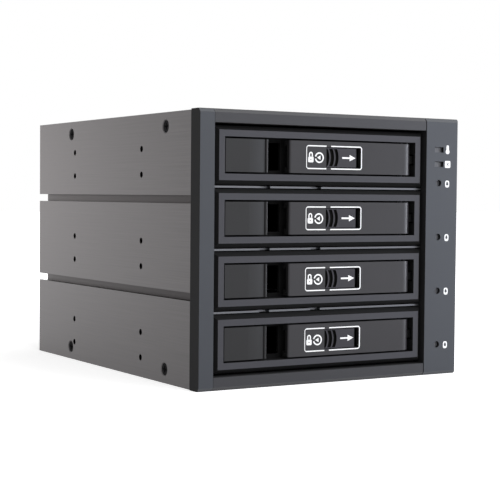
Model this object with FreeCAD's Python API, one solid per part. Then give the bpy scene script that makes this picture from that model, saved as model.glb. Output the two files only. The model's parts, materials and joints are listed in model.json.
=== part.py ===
import FreeCAD, Part
import math
import os

from FreeCAD import Vector

# A cage for three 5.25-inch bays that holds four 3.5-inch drives in pull-out trays.
# Millimetres. X runs to the right, Y from the front to the rear and Z up.
# The shapes are made with the front of the bezel at Y = 0 and are moved at the end,
# so that the origin is under the middle of the whole cage.

# ---- Driving dimensions ----

# The drive
DRIVE_WIDTH = 101.6
DRIVE_HEIGHT = 26.1
DRIVE_LENGTH = 147.0
DRIVE_FIT = 0.35
DRIVE_HOLE_PITCH_X = 95.25
DRIVE_HOLE_PITCH_Y = 44.45
DRIVE_HOLE_FROM_REAR = 41.28
DRIVE_HOLE_RADIUS = 1.75

# The trays in their zone
TRAY_COUNT = 4
PAN_SHEET = 0.8
SHELF_SHEET = 0.9
SHELF_CLEARANCE = 0.5
TRAY_SIDE = 9.0
SIDE_CLEARANCE = 0.6
MOUTH_CLEARANCE = 1.15

# The bezel
PILLAR_WIDTH = 7.5
LAMP_PANEL_WIDTH = 20.3
RAIL_HEIGHT = 6.2
RAIL_END_GAP = 0.5
BEZEL_DEPTH = 8.4
BEZEL_WALL = 1.8
BEZEL_CHAMFER = 1.7
LAMP_PANEL_EDGE_CHAMFER = 0.9
SEAM = 0.15
TONGUE_LENGTH = 10.0
TONGUE_THICKNESS = 1.6
TONGUE_WIDTH = 14.0

# The sheet shell
SHEET = 1.2
INNER_SHEET = 1.0
SHELL_INSET = 0.8
SHELL_TOP_DROP = 0.4
STRIP_GAP = 1.6
GROOVE_DEPTH = 3.0
GROOVE_WIDTH = 3.8
FIRST_GROOVE = 42.4
BAY_PITCH = 44.5
BAY_COUNT = 3
SHELL_TAIL = 11.5
COVER_FLANGE = 12.0
INNER_FLANGE = 7.0

# Mounting holes in the side walls
MOUNT_HOLE_RADIUS = 1.5
MOUNT_FIRST_COLUMN = 60.0
MOUNT_COLUMN_PITCH = 79.25
MOUNT_FIRST_ROW = 9.6
MOUNT_ROW_PITCH = 12.4
MOUNT_ROWS = 2
MOUNT_RELIEF = 3.0

# Countersunk screws that hold the walls to the cover and the base
COVER_SCREW_FIRST = 35.0
COVER_SCREW_PITCH = 109.0
COVER_SCREW_INSET = 6.6
COVER_SCREW_MOUTH_RADIUS = 3.3
COVER_SCREW_RADIUS = 1.5
COVER_SCREW_SINK = 0.35
COVER_SCREW_LENGTH = 3.9
SCREW_FIT = 0.05

# The tray face
FACE_RECESS = 1.3
FACE_DEPTH = 13.9
FACE_BEVEL_X = 2.5
FACE_BEVEL_Z = 2.0
FACE_BEVEL_DEPTH = 2.6
RING_WIDTH = 3.0
RECESS_DEPTH = 7.7
FLOOR_SHEET = 1.4
FACE_WALL = 2.0

# The insert and the lever in the tray face
INSERT_GAP = 0.5
INSERT_SINK = 0.2
BLANK_WIDTH = 23.0
BLANK_FLAT = 12.6
BLANK_SLOPE_DEPTH = 0.9
BLANK_SLOPE_RISE = 0.35
BLANK_WALL = 1.6
BLANK_BEAD_RADIUS = 0.7
PANEL_CLEARANCE_Z = 0.85
FINGER_GAP = 11.4
FINGER_WINDOW_HEIGHT = 13.0
LEVER_END_GAP = 3.1
LEVER_PLATE = 2.3
LEVER_SKIRT = 1.6
LEVER_BACK = 4.7
LEVER_LIP = 0.8
LEVER_LIP_REACH = 1.05
LEVER_GRIP_RADIUS = 0.9
KNUCKLE_RADIUS = 3.6
NOSE_RADIUS = 6.2
NOSE_REACH = 4.7
PIN_RADIUS = 1.0
PIN_FIT = 0.03
PIN_RUNNING_CLEARANCE = 0.06
PIN_SEAT = 1.9
CLAW_REACH = 9.5
CLAW_THICKNESS = 2.2
CLAW_WIDTH = 4.0
CLAW_ROOM = 0.8

# The sliding lock in the lever
LOCK_INSET = 20.9
LOCK_LENGTH = 17.9
LOCK_HEIGHT = 9.0
LOCK_CLEARANCE = 0.3
LOCK_TRAVEL = 1.6
LOCK_SINK = 0.2
LOCK_FLANGE = 1.0
LOCK_FLANGE_OVERLAP = 1.2
LOCK_BEVEL = 0.8
GRIP_LENGTH = 6.9
GRIP_DEPTH = 1.2
GRIP_MARGIN = 0.4
GRIP_BOW_RADIUS = 9.0
RIB_FIRST = 2.5
RIB_PITCH = 2.8
RIB_COUNT = 2
RIB_WIDTH = 0.85
RIB_SINK = 0.2
HOOK_THICKNESS = 1.6
HOOK_WIDTH = 4.0
HOOK_TOE = 1.0
HOOK_TOE_HEIGHT = 1.2
HOOK_CLEARANCE = 0.6

# Tray rails and their guides
RUNNER_HEIGHT = 14.0
RUNNER_WALL = 1.6
GUIDE_BASE = 1.2
GUIDE_HALF_HEIGHT = 4.0
GUIDE_RIB_HEIGHT = 1.8
GUIDE_RIB_FIT = 0.5
GUIDE_RIB_BITE = 1.8
GUIDE_START = 14.0
GUIDE_LEAD = 4.0
PAN_WALL_HEIGHT = 9.0
PAN_SLOT_WIDTH = 14.0
PAN_SLOT_LENGTH = 46.0
PAN_SLOT_COLUMNS = 4
PAN_SLOT_ROWS = 2
PAN_SLOT_GAP = 8.0

# Shelves between the trays
SHELF_FRONT = 3.9
SHELF_EDGE_CLEARANCE = 0.3
SHELF_FLANGE = 5.0
SHELF_NOTCH_WIDTH = 5.5
SHELF_NOTCH_DEPTH = 2.4
SHELF_NOTCH_OFFSET = 31.1
SHELF_NOTCH_PITCH = 28.5

# Lamps
LAMP_COLUMN = 12.4
LAMP_HOLE_RADIUS = 1.6
LAMP_PITCH = 26.9
FIRST_LAMP = 15.2
SLOT_LAMP_WIDTH = 5.6
SLOT_LAMP_HEIGHT = 2.7
FIRST_SLOT_LAMP = 105.3
SLOT_LAMP_PITCH = 7.2
PIPE_FIT = 0.05
PIPE_SINK = 1.6
LAMP_BOARD_FRONT = 13.5
LAMP_BOARD_WIDTH = 11.3
LAMP_BOARD_END_MARGIN = 9.0
LAMP_DEPTH = 1.5
LAMP_SIZE = 2.6
LAMP_GAP = 0.3
BOSS_SIZE = 3.6

# Electronics at the rear
BOARD = 1.6
BOARD_END_MARGIN = 2.8
DRIVE_TO_FACE = 0.4
PAN_TO_DRIVE_REAR = 0.6
GUIDE_TO_PAN_REAR = 0.6
SOCKET_GAP = 0.4
SOCKET_DEPTH = 5.6
SOCKET_WIDTH = 42.0
SOCKET_HEIGHT = 6.0
SOCKET_OFFSET = 20.7
SOCKET_LIFT = 0.6
SOCKET_SLOT_WIDTH = 36.0
SOCKET_SLOT_HEIGHT = 1.8
SOCKET_SLOT_DEPTH = 4.2
BOARD_VENT_WIDTH = 20.0
BOARD_VENT_HEIGHT = 15.0
BOARD_VENT_GAP = 4.0
PORT_INSET = 11.5
PORT_WIDTH = 8.6
PORT_HEIGHT = 16.0
PORT_LENGTH = 9.0
PORT_SLOT_WIDTH = 2.4
PORT_SLOT_HEIGHT = 11.0
PORT_SLOT_DEPTH = 6.0
INLET_EDGE_GAP = 2.0
INLET_SPACING = 56.0
INLET_WIDTH = 11.0
INLET_HEIGHT = 23.0
INLET_LENGTH = 13.0
INLET_WALL = 1.5
INLET_CAVITY_DEPTH = 10.5
INLET_PIN_SIZE = 1.6
INLET_PIN_LENGTH = 5.0
INLET_PIN_PITCH = 5.08
INLET_PIN_COUNT = 4
BOARD_TO_REAR = 5.1
CUTOUT_CLEARANCE = 0.5
REAR_FLANGE = 8.0
REAR_EDGE_CLEARANCE = 0.3

# The fan
FAN_GAP = 3.3
FAN_SIZE = 80.0
FAN_DEPTH = 25.0
FAN_RIM = 2.0
FAN_FLANGE = 4.0
FAN_CORNER = 3.5
FAN_WAIST = 3.6
FAN_HOLE_INSET = 4.25
FAN_HOLE_RADIUS = 2.2
FAN_PLATE_RADIUS = 15.5
FAN_PLATE = 3.0
FAN_ARM_WIDTH = 4.0
FAN_ARM_BITE = 1.0
FAN_SHAFT_RADIUS = 1.5
FAN_SHAFT_CLEARANCE = 0.05
FAN_SHAFT_COVER = 3.0
ROTOR_FRONT_GAP = 2.0
ROTOR_REAR_GAP = 0.6
HUB_RADIUS = 15.0
BLADE_COUNT = 7
BLADE_TIP_CLEARANCE = 0.8
BLADE_THICKNESS = 1.4
BLADE_ROOT_ANGLE = 42.0
BLADE_TIP_ANGLE = 27.0
BLADE_ROOT_CHORD = 15.0
BLADE_TIP_CHORD = 25.0
BLADE_ROOT_BITE = 0.8
FAN_SCREW_FIT = 0.1
FAN_SCREW_HEAD_RADIUS = 3.8
FAN_SCREW_HEAD = 2.0
FAN_SCREW_LENGTH = 9.0

# ---- Sizes that follow from them ----

TRAY_HEIGHT = DRIVE_HEIGHT + PAN_SHEET
TRAY_PITCH = TRAY_HEIGHT + SHELF_SHEET + 2 * SHELF_CLEARANCE
TRAY_WIDTH = DRIVE_WIDTH + 2 * TRAY_SIDE
ZONE_WIDTH = TRAY_WIDTH + 2 * SIDE_CLEARANCE
BEZEL_WIDTH = PILLAR_WIDTH + ZONE_WIDTH + LAMP_PANEL_WIDTH
FIRST_TRAY = RAIL_HEIGHT + MOUTH_CLEARANCE + TRAY_HEIGHT / 2
CAGE_HEIGHT = 2 * FIRST_TRAY + (TRAY_COUNT - 1) * TRAY_PITCH
MIDDLE = CAGE_HEIGHT / 2

LEFT = -BEZEL_WIDTH / 2
RIGHT = BEZEL_WIDTH / 2
ZONE_LEFT = LEFT + PILLAR_WIDTH
ZONE_RIGHT = RIGHT - LAMP_PANEL_WIDTH
TRAY_X = (ZONE_LEFT + ZONE_RIGHT) / 2
SHELL_HALF = BEZEL_WIDTH / 2 - SHELL_INSET
SHELL_TOP = CAGE_HEIGHT - SHELL_TOP_DROP
STRIP_FRONT = BEZEL_DEPTH + STRIP_GAP

INNER_LEFT_FACE = -SHELL_HALF + GROOVE_DEPTH + SHEET + INNER_SHEET
GUIDE_SPACE = TRAY_X - TRAY_WIDTH / 2 - INNER_LEFT_FACE
INNER_RIGHT_FACE = TRAY_X + TRAY_WIDTH / 2 + GUIDE_SPACE

FACE_BACK = FACE_RECESS + FACE_DEPTH
DRIVE_FRONT = FACE_BACK + DRIVE_TO_FACE
DRIVE_REAR = DRIVE_FRONT + DRIVE_LENGTH
BOARD_FRONT = DRIVE_REAR + SOCKET_GAP + SOCKET_DEPTH
BOARD_REAR = BOARD_FRONT + BOARD
REAR_FRONT = BOARD_REAR + BOARD_TO_REAR
REAR_BACK = REAR_FRONT + SHEET
SHELL_END = REAR_BACK + SHELL_TAIL
FAN_BACK = REAR_BACK + FAN_DEPTH
TOTAL_DEPTH = FAN_BACK

FLOOR_FRONT = FACE_RECESS + RECESS_DEPTH
FLOOR_BACK = FLOOR_FRONT + FLOOR_SHEET
OPENING_LEFT = TRAY_X - TRAY_WIDTH / 2 + FACE_BEVEL_X + RING_WIDTH
OPENING_RIGHT = TRAY_X + TRAY_WIDTH / 2 - FACE_BEVEL_X - RING_WIDTH
OPENING_HALF_HEIGHT = TRAY_HEIGHT / 2 - FACE_BEVEL_Z - RING_WIDTH
PANEL_HALF_HEIGHT = OPENING_HALF_HEIGHT - PANEL_CLEARANCE_Z
INSERT_FRONT = FACE_RECESS + INSERT_SINK
BLANK_LEFT = OPENING_LEFT + INSERT_GAP
BLANK_RIGHT = BLANK_LEFT + BLANK_WIDTH
LEVER_LEFT = BLANK_RIGHT + FINGER_GAP
LEVER_RIGHT = OPENING_RIGHT - LEVER_END_GAP
PIN_X = LEVER_RIGHT - KNUCKLE_RADIUS
PIN_Y = FACE_RECESS + KNUCKLE_RADIUS
LEVER_REAR = FACE_RECESS + LEVER_BACK
LOCK_LEFT = LEVER_LEFT + LOCK_INSET

PAN_HALF = DRIVE_WIDTH / 2 + DRIVE_FIT
PAN_REAR = DRIVE_REAR - PAN_TO_DRIVE_REAR
GUIDE_END = PAN_REAR - GUIDE_TO_PAN_REAR
LAMP_X = ZONE_RIGHT + LAMP_PANEL_WIDTH - LAMP_COLUMN
LAMP_BOARD_LEFT = INNER_RIGHT_FACE + INNER_SHEET + SEAM
LAMP_LEVELS = [FIRST_LAMP + LAMP_PITCH * n for n in range(TRAY_COUNT)]
SLOT_LAMP_LEVELS = (FIRST_SLOT_LAMP, FIRST_SLOT_LAMP + SLOT_LAMP_PITCH)
SHELF_NOTCHES = (TRAY_X - SHELF_NOTCH_OFFSET, TRAY_X - SHELF_NOTCH_OFFSET + SHELF_NOTCH_PITCH)
MOUNT_COLUMNS = (MOUNT_FIRST_COLUMN, MOUNT_FIRST_COLUMN + MOUNT_COLUMN_PITCH)
COVER_SCREW_COLUMNS = (COVER_SCREW_FIRST, COVER_SCREW_FIRST + COVER_SCREW_PITCH)
GROOVES = [FIRST_GROOVE + BAY_PITCH * n for n in range(BAY_COUNT - 1)]
INLET_COLUMN = INNER_LEFT_FACE + INLET_EDGE_GAP + INLET_WIDTH / 2
PORT_COLUMN = INNER_RIGHT_FACE - PORT_INSET
FAN_HALF = FAN_SIZE / 2
FAN_BORE_RADIUS = FAN_HALF - FAN_RIM
FAN_X = INLET_COLUMN + INLET_WIDTH / 2 + FAN_GAP + FAN_HALF
FAN_Z = MIDDLE

parts = {}


def box(x0, x1, y0, y1, z0, z1):
    return Part.makeBox(x1 - x0, y1 - y0, z1 - z0, Vector(x0, y0, z0))


def rod_y(x, z, radius, y0, y1):
    return Part.makeCylinder(radius, y1 - y0, Vector(x, y0, z), Vector(0, 1, 0))


def rod_z(x, y, radius, z0, z1):
    return Part.makeCylinder(radius, z1 - z0, Vector(x, y, z0))


def extrude_outline(corners, travel):
    """Extrude a closed outline with straight sides."""
    wire = Part.makePolygon(corners + [corners[0]])
    return Part.Face(wire).extrude(travel)


def prism_x(outline, x0, x1):
    """Extrude an outline of (y, z) corners along X."""
    return extrude_outline([Vector(x0, y, z) for y, z in outline], Vector(x1 - x0, 0, 0))


def prism_y(outline, y0, y1):
    """Extrude an outline of (x, z) corners along Y."""
    return extrude_outline([Vector(x, y0, z) for x, z in outline], Vector(0, y1 - y0, 0))


def prism_z(outline, z0, z1):
    """Extrude an outline of (x, y) corners along Z."""
    return extrude_outline([Vector(x, y, z0) for x, y in outline], Vector(0, 0, z1 - z0))


def rounded_rectangle(x0, x1, z0, z1, radius, y):
    """A closed wire in an upright plane, with four round corners."""
    edges = []
    centres = ((x1 - radius, z1 - radius), (x0 + radius, z1 - radius),
               (x0 + radius, z0 + radius), (x1 - radius, z0 + radius))
    arcs = []
    for number, (x, z) in enumerate(centres):
        points = []
        for step in (0, 45, 90):
            angle = math.radians(90 * number + step)
            points.append(Vector(x + radius * math.cos(angle), y, z + radius * math.sin(angle)))
        arcs.append(points)
    for number, points in enumerate(arcs):
        edges.append(Part.Arc(*points).toShape())
        following = arcs[(number + 1) % len(arcs)]
        edges.append(Part.LineSegment(points[2], following[0]).toShape())
    return Part.Wire(edges)


def mirror_x(shape):
    return shape.mirror(Vector(0, 0, 0), Vector(1, 0, 0))


def mirror_tray(shape):
    """Mirror a shape about the upright middle plane of the trays."""
    return shape.mirror(Vector(TRAY_X, 0, 0), Vector(1, 0, 0))


def lift(shape, height):
    moved = shape.copy()
    moved.translate(Vector(0, 0, height))
    return moved


def group(shapes):
    return Part.makeCompound(shapes)


# ---- The sheet shell ----

def cover_screw(grow, sink, length):
    """A countersunk screw, or its seat, whose head faces -X at X = 0."""
    head_radius = COVER_SCREW_MOUTH_RADIUS - sink - grow
    radius = COVER_SCREW_RADIUS - grow
    head_height = head_radius - radius
    out = Vector(1, 0, 0)
    head = Part.makeCone(head_radius, radius, head_height, Vector(sink, 0, 0), out)
    shaft = Part.makeCylinder(radius, length - sink - head_height, Vector(sink + head_height, 0, 0), out)
    return head.fuse(shaft)


def cover_screw_places():
    heights = (COVER_SCREW_INSET, SHELL_TOP - COVER_SCREW_INSET)
    return [Vector(-SHELL_HALF, y, z) for y in COVER_SCREW_COLUMNS for z in heights]


def placed(shape, places):
    copies = []
    for place in places:
        copy = shape.copy()
        copy.translate(place)
        copies.append(copy)
    return copies


def make_cover_screws():
    screw = cover_screw(SCREW_FIT, COVER_SCREW_SINK, COVER_SCREW_LENGTH)
    left = placed(screw, cover_screw_places())
    return group(left + [mirror_x(shape) for shape in left])


def cover_screw_seats():
    return placed(cover_screw(0, 0, COVER_SCREW_LENGTH + SHEET), cover_screw_places())


def mount_places():
    """The (y, z) of the holes in a side wall where the screws of a computer case go."""
    places = []
    for y in MOUNT_COLUMNS:
        for bay in range(BAY_COUNT):
            for row in range(MOUNT_ROWS):
                places.append((y, MOUNT_FIRST_ROW + BAY_PITCH * bay + MOUNT_ROW_PITCH * row))
    return places


def mount_holes():
    outer = -SHELL_HALF
    return [Part.makeCylinder(MOUNT_HOLE_RADIUS, SHEET, Vector(outer, y, z), Vector(1, 0, 0))
            for y, z in mount_places()]


def mount_notches():
    """Room in the flanges for the ends of those screws."""
    low = SHEET - SHELL_HALF
    return [box(low, low + SHEET, y - MOUNT_RELIEF, y + MOUNT_RELIEF, z - MOUNT_RELIEF, z + MOUNT_RELIEF)
            for y, z in mount_places()]


def make_side_wall():
    """The left wall: a flat sheet with two pressed grooves, drawn as its cross-section."""
    outer = -SHELL_HALF
    outside = [(outer, 0)]
    inside = [(outer + SHEET, 0)]
    for groove in GROOVES:
        low = groove - GROOVE_WIDTH / 2
        high = groove + GROOVE_WIDTH / 2
        floor = outer + GROOVE_DEPTH
        outside += [(outer, low), (floor, low), (floor, high), (outer, high)]
        inside += [(outer + SHEET, low - SHEET), (floor + SHEET, low - SHEET),
                   (floor + SHEET, high + SHEET), (outer + SHEET, high + SHEET)]
    outside.append((outer, SHELL_TOP))
    inside.append((outer + SHEET, SHELL_TOP))
    wall = prism_y(outside + inside[::-1], BEZEL_DEPTH, SHELL_END)
    cuts = [box(outer, outer + GROOVE_DEPTH, BEZEL_DEPTH, STRIP_FRONT, 0, SHELL_TOP)]
    for groove in GROOVES:
        half = GROOVE_WIDTH / 2
        cuts.append(box(outer, outer + GROOVE_DEPTH + SHEET, REAR_BACK, SHELL_END,
                        groove - half, groove + half))
        cuts.append(box(outer + SHEET, outer + GROOVE_DEPTH + SHEET, REAR_BACK, SHELL_END,
                        groove - half - SHEET, groove + half + SHEET))
    return wall.cut(cuts + mount_holes() + cover_screw_seats())


def make_cover():
    """The bottom plate: a tray whose flanges stand inside the side walls."""
    half = SHELL_HALF - SHEET
    outline = [(-half, 0), (half, 0), (half, COVER_FLANGE), (half - SHEET, COVER_FLANGE),
               (half - SHEET, SHEET), (SHEET - half, SHEET), (SHEET - half, COVER_FLANGE),
               (-half, COVER_FLANGE)]
    cover = prism_y(outline, BEZEL_DEPTH, SHELL_END)
    flange_ends = [(BEZEL_DEPTH, STRIP_FRONT + TONGUE_LENGTH), (REAR_FRONT, SHELL_END)]
    for start, end in flange_ends:
        cover = cover.cut(box(-half, half, start, end, SHEET, COVER_FLANGE))
    return cover


def with_flange_holes(cover, tools):
    return cover.cut(tools + [mirror_x(tool) for tool in tools])


def make_bottom_plate():
    return with_flange_holes(make_cover(), cover_screw_seats() + mount_notches())


def make_top_cover():
    upside_down = make_cover().mirror(Vector(0, 0, SHELL_TOP / 2), Vector(0, 0, 1))
    return with_flange_holes(upside_down, cover_screw_seats() + mount_notches())


def inner_sheet(face, away):
    """An upright sheet whose tray side is at X = face, with a flange on the base and one on the cover."""
    low = SHEET
    high = SHELL_TOP - SHEET
    back = face + away * INNER_SHEET
    turned = face + INNER_FLANGE if away < 0 else back + INNER_FLANGE
    start = face if away < 0 else back
    wall = box(min(face, back), max(face, back), BEZEL_DEPTH, REAR_FRONT, low, high)
    base_flange = box(start, turned, BEZEL_DEPTH, REAR_FRONT, low, low + INNER_SHEET)
    cover_flange = box(start, turned, BEZEL_DEPTH, REAR_FRONT, high - INNER_SHEET, high)
    return wall.fuse([base_flange, cover_flange]).removeSplitter()


def tray_level(number):
    return FIRST_TRAY + TRAY_PITCH * number


def make_shelf():
    """The sheet above the lowest tray, with turned-down edges and a notched front edge."""
    low = FIRST_TRAY + TRAY_HEIGHT / 2 + SHELF_CLEARANCE
    high = low + SHELF_SHEET
    behind_bezel = BEZEL_DEPTH + SHELF_EDGE_CLEARANCE
    end = BOARD_FRONT - SHELF_EDGE_CLEARANCE
    shelf = box(INNER_LEFT_FACE, INNER_RIGHT_FACE, behind_bezel, end, low, high)
    nose = box(ZONE_LEFT + SHELF_EDGE_CLEARANCE, ZONE_RIGHT - SHELF_EDGE_CLEARANCE,
               SHELF_FRONT, behind_bezel, low, high)
    flanges = []
    for x in (INNER_LEFT_FACE, INNER_RIGHT_FACE - SHELF_SHEET):
        flanges.append(box(x, x + SHELF_SHEET, behind_bezel, end, low - SHELF_FLANGE, low))
    shelf = shelf.fuse([nose] + flanges).removeSplitter()
    half = SHELF_NOTCH_WIDTH / 2
    for x in SHELF_NOTCHES:
        shelf = shelf.cut(box(x - half, x + half, SHELF_FRONT, SHELF_FRONT + SHELF_NOTCH_DEPTH, low, high))
    return shelf


def make_guide():
    """The left guide of the lowest tray: a strip with a rib that tapers in at the front."""
    level = FIRST_TRAY
    base_face = INNER_LEFT_FACE + GUIDE_BASE
    rib_tip = TRAY_X - TRAY_WIDTH / 2 + GUIDE_RIB_BITE
    base = box(INNER_LEFT_FACE, base_face, GUIDE_START, GUIDE_END,
               level - GUIDE_HALF_HEIGHT, level + GUIDE_HALF_HEIGHT)
    outline = [(base_face, GUIDE_START), (rib_tip, GUIDE_START + GUIDE_LEAD), (rib_tip, GUIDE_END),
               (base_face, GUIDE_END)]
    rib = prism_z(outline, level - GUIDE_RIB_HEIGHT / 2, level + GUIDE_RIB_HEIGHT / 2)
    return base.fuse(rib)


# ---- The bezel ----

def bezel_bar(x0, x1):
    """The whole height of the bezel between two places, chamfered along its top and bottom edges."""
    cut = BEZEL_CHAMFER
    outline = [(0, cut), (cut, 0), (BEZEL_DEPTH, 0), (BEZEL_DEPTH, CAGE_HEIGHT),
               (cut, CAGE_HEIGHT), (0, CAGE_HEIGHT - cut)]
    return prism_x(outline, x0, x1)


def side_tongues(side):
    """Tongues that grow from the bezel's outer wall and stand against the inside of a side wall."""
    levels = (GROOVES[0] / 2, MIDDLE, (GROOVES[-1] + SHELL_TOP) / 2)
    half = TONGUE_WIDTH / 2
    end = BEZEL_DEPTH + TONGUE_LENGTH
    edge = BEZEL_WIDTH / 2 - BEZEL_WALL
    outer = SHELL_HALF - SHEET
    inner = outer - TONGUE_THICKNESS
    tongues = []
    for level in levels:
        tongues.append(box(inner, outer, BEZEL_DEPTH, end, level - half, level + half))
        tongues.append(box(inner, edge, BEZEL_WALL, BEZEL_DEPTH, level - half, level + half))
    return tongues if side > 0 else [mirror_x(tongue) for tongue in tongues]


def make_left_pillar():
    pillar = bezel_bar(LEFT, ZONE_LEFT)
    pocket = box(LEFT + BEZEL_WALL, ZONE_LEFT - BEZEL_WALL, BEZEL_WALL, BEZEL_DEPTH,
                 BEZEL_WALL, CAGE_HEIGHT - BEZEL_WALL)
    pillar = pillar.cut(pocket)
    return pillar.fuse(side_tongues(-1)).removeSplitter()


def make_top_rail():
    left = ZONE_LEFT + SEAM
    right = ZONE_RIGHT - RAIL_END_GAP
    low = CAGE_HEIGHT - RAIL_HEIGHT
    band = box(left, right, 0, BEZEL_DEPTH, low, CAGE_HEIGHT)
    rail = bezel_bar(left, right).common(band)
    pocket = box(left + BEZEL_WALL, right - BEZEL_WALL, BEZEL_WALL, BEZEL_DEPTH,
                 low + BEZEL_WALL, CAGE_HEIGHT - BEZEL_WALL)
    rail = rail.cut(pocket)
    cover = SHELL_TOP - SHEET
    tongues = []
    for x in (TRAY_X - ZONE_WIDTH / 4, TRAY_X + ZONE_WIDTH / 4):
        tongues.append(box(x - TONGUE_WIDTH / 2, x + TONGUE_WIDTH / 2, BEZEL_DEPTH - BEZEL_WALL,
                           BEZEL_DEPTH + TONGUE_LENGTH, cover - TONGUE_THICKNESS, cover))
        tongues.append(box(x - TONGUE_WIDTH / 2, x + TONGUE_WIDTH / 2, BEZEL_WALL,
                           BEZEL_DEPTH, low + BEZEL_WALL, CAGE_HEIGHT - BEZEL_WALL))
    return rail.fuse(tongues).removeSplitter()


def make_bottom_rail():
    return make_top_rail().mirror(Vector(0, 0, MIDDLE), Vector(0, 0, 1))


def slot_lamp_box(level, shrink, y0, y1):
    half_width = SLOT_LAMP_WIDTH / 2 - shrink
    half_height = SLOT_LAMP_HEIGHT / 2 - shrink
    return box(LAMP_X - half_width, LAMP_X + half_width, y0, y1, level - half_height, level + half_height)


def make_lamp_panel():
    panel = bezel_bar(ZONE_RIGHT, RIGHT)
    edge = LAMP_PANEL_EDGE_CHAMFER
    plan = [(ZONE_RIGHT, 0), (RIGHT - edge, 0), (RIGHT, edge), (RIGHT, BEZEL_DEPTH),
            (ZONE_RIGHT, BEZEL_DEPTH)]
    panel = panel.common(prism_z(plan, 0, CAGE_HEIGHT))
    panel = panel.cut(box(ZONE_RIGHT + BEZEL_WALL, RIGHT - BEZEL_WALL, BEZEL_WALL, BEZEL_DEPTH,
                          BEZEL_WALL, CAGE_HEIGHT - BEZEL_WALL))
    boss_left = LAMP_BOARD_LEFT + LAMP_BOARD_WIDTH - BOSS_SIZE
    highest = CAGE_HEIGHT - LAMP_BOARD_END_MARGIN - BOSS_SIZE
    bosses = []
    for level in (LAMP_BOARD_END_MARGIN, MIDDLE - BOSS_SIZE / 2, highest):
        bosses.append(box(boss_left, boss_left + BOSS_SIZE, BEZEL_WALL, LAMP_BOARD_FRONT,
                          level, level + BOSS_SIZE))
    panel = panel.fuse(bosses + side_tongues(1)).removeSplitter()
    holes = [rod_y(LAMP_X, level, LAMP_HOLE_RADIUS, 0, BEZEL_WALL) for level in LAMP_LEVELS]
    holes += [slot_lamp_box(level, 0, 0, BEZEL_WALL) for level in SLOT_LAMP_LEVELS]
    return panel.cut(holes)


def make_light_pipes():
    end = LAMP_BOARD_FRONT - LAMP_DEPTH - LAMP_GAP
    pipes = [rod_y(LAMP_X, level, LAMP_HOLE_RADIUS - PIPE_FIT, PIPE_SINK, end) for level in LAMP_LEVELS]
    pipes += [slot_lamp_box(level, PIPE_FIT, PIPE_SINK, end) for level in SLOT_LAMP_LEVELS]
    return group(pipes)


def make_lamps():
    lamps = []
    half = LAMP_SIZE / 2
    for level in LAMP_LEVELS + list(SLOT_LAMP_LEVELS):
        lamps.append(box(LAMP_X - half, LAMP_X + half, LAMP_BOARD_FRONT - LAMP_DEPTH, LAMP_BOARD_FRONT,
                         level - half, level + half))
    return group(lamps)


def make_lamp_board():
    return box(LAMP_BOARD_LEFT, LAMP_BOARD_LEFT + LAMP_BOARD_WIDTH,
               LAMP_BOARD_FRONT, LAMP_BOARD_FRONT + BOARD,
               LAMP_BOARD_END_MARGIN, CAGE_HEIGHT - LAMP_BOARD_END_MARGIN)


# ---- Electronics and the rear ----

def make_backplane():
    board = box(INNER_LEFT_FACE, INNER_RIGHT_FACE, BOARD_FRONT, BOARD_REAR,
                BOARD_END_MARGIN, SHELL_TOP - BOARD_END_MARGIN)
    vents = []
    first = TRAY_X + SOCKET_OFFSET - SOCKET_WIDTH / 2 - BOARD_VENT_GAP - BOARD_VENT_WIDTH
    for number in range(TRAY_COUNT):
        for column in range(2):
            x = first - column * (BOARD_VENT_WIDTH + BOARD_VENT_GAP)
            low = tray_level(number) - BOARD_VENT_HEIGHT / 2
            vents.append(box(x, x + BOARD_VENT_WIDTH, BOARD_FRONT, BOARD_REAR,
                             low, low + BOARD_VENT_HEIGHT))
    return board.cut(vents)


def make_drive_socket():
    """The socket behind the lowest drive, with the slot that the drive's contacts enter."""
    centre = TRAY_X + SOCKET_OFFSET
    low = FIRST_TRAY - TRAY_HEIGHT / 2 + PAN_SHEET + SOCKET_LIFT
    front = BOARD_FRONT - SOCKET_DEPTH
    body = box(centre - SOCKET_WIDTH / 2, centre + SOCKET_WIDTH / 2, front, BOARD_FRONT,
               low, low + SOCKET_HEIGHT)
    middle = low + SOCKET_HEIGHT / 2
    slot = box(centre - SOCKET_SLOT_WIDTH / 2, centre + SOCKET_SLOT_WIDTH / 2,
               front, front + SOCKET_SLOT_DEPTH,
               middle - SOCKET_SLOT_HEIGHT / 2, middle + SOCKET_SLOT_HEIGHT / 2)
    return body.cut(slot)


def port_body(number, grow, y0, y1):
    half_width = PORT_WIDTH / 2 + grow
    half_height = PORT_HEIGHT / 2 + grow
    level = tray_level(number)
    return box(PORT_COLUMN - half_width, PORT_COLUMN + half_width, y0, y1,
               level - half_height, level + half_height)


def make_data_ports():
    ports = []
    end = BOARD_REAR + PORT_LENGTH
    for number in range(TRAY_COUNT):
        level = tray_level(number)
        slot = box(PORT_COLUMN - PORT_SLOT_WIDTH / 2, PORT_COLUMN + PORT_SLOT_WIDTH / 2,
                   end - PORT_SLOT_DEPTH, end,
                   level - PORT_SLOT_HEIGHT / 2, level + PORT_SLOT_HEIGHT / 2)
        ports.append(port_body(number, 0, BOARD_REAR, end).cut(slot))
    return group(ports)


def inlet_levels():
    return (MIDDLE - INLET_SPACING / 2, MIDDLE + INLET_SPACING / 2)


def inlet_body(level, grow, y0, y1):
    half_width = INLET_WIDTH / 2 + grow
    half_height = INLET_HEIGHT / 2 + grow
    return box(INLET_COLUMN - half_width, INLET_COLUMN + half_width, y0, y1,
               level - half_height, level + half_height)


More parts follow.
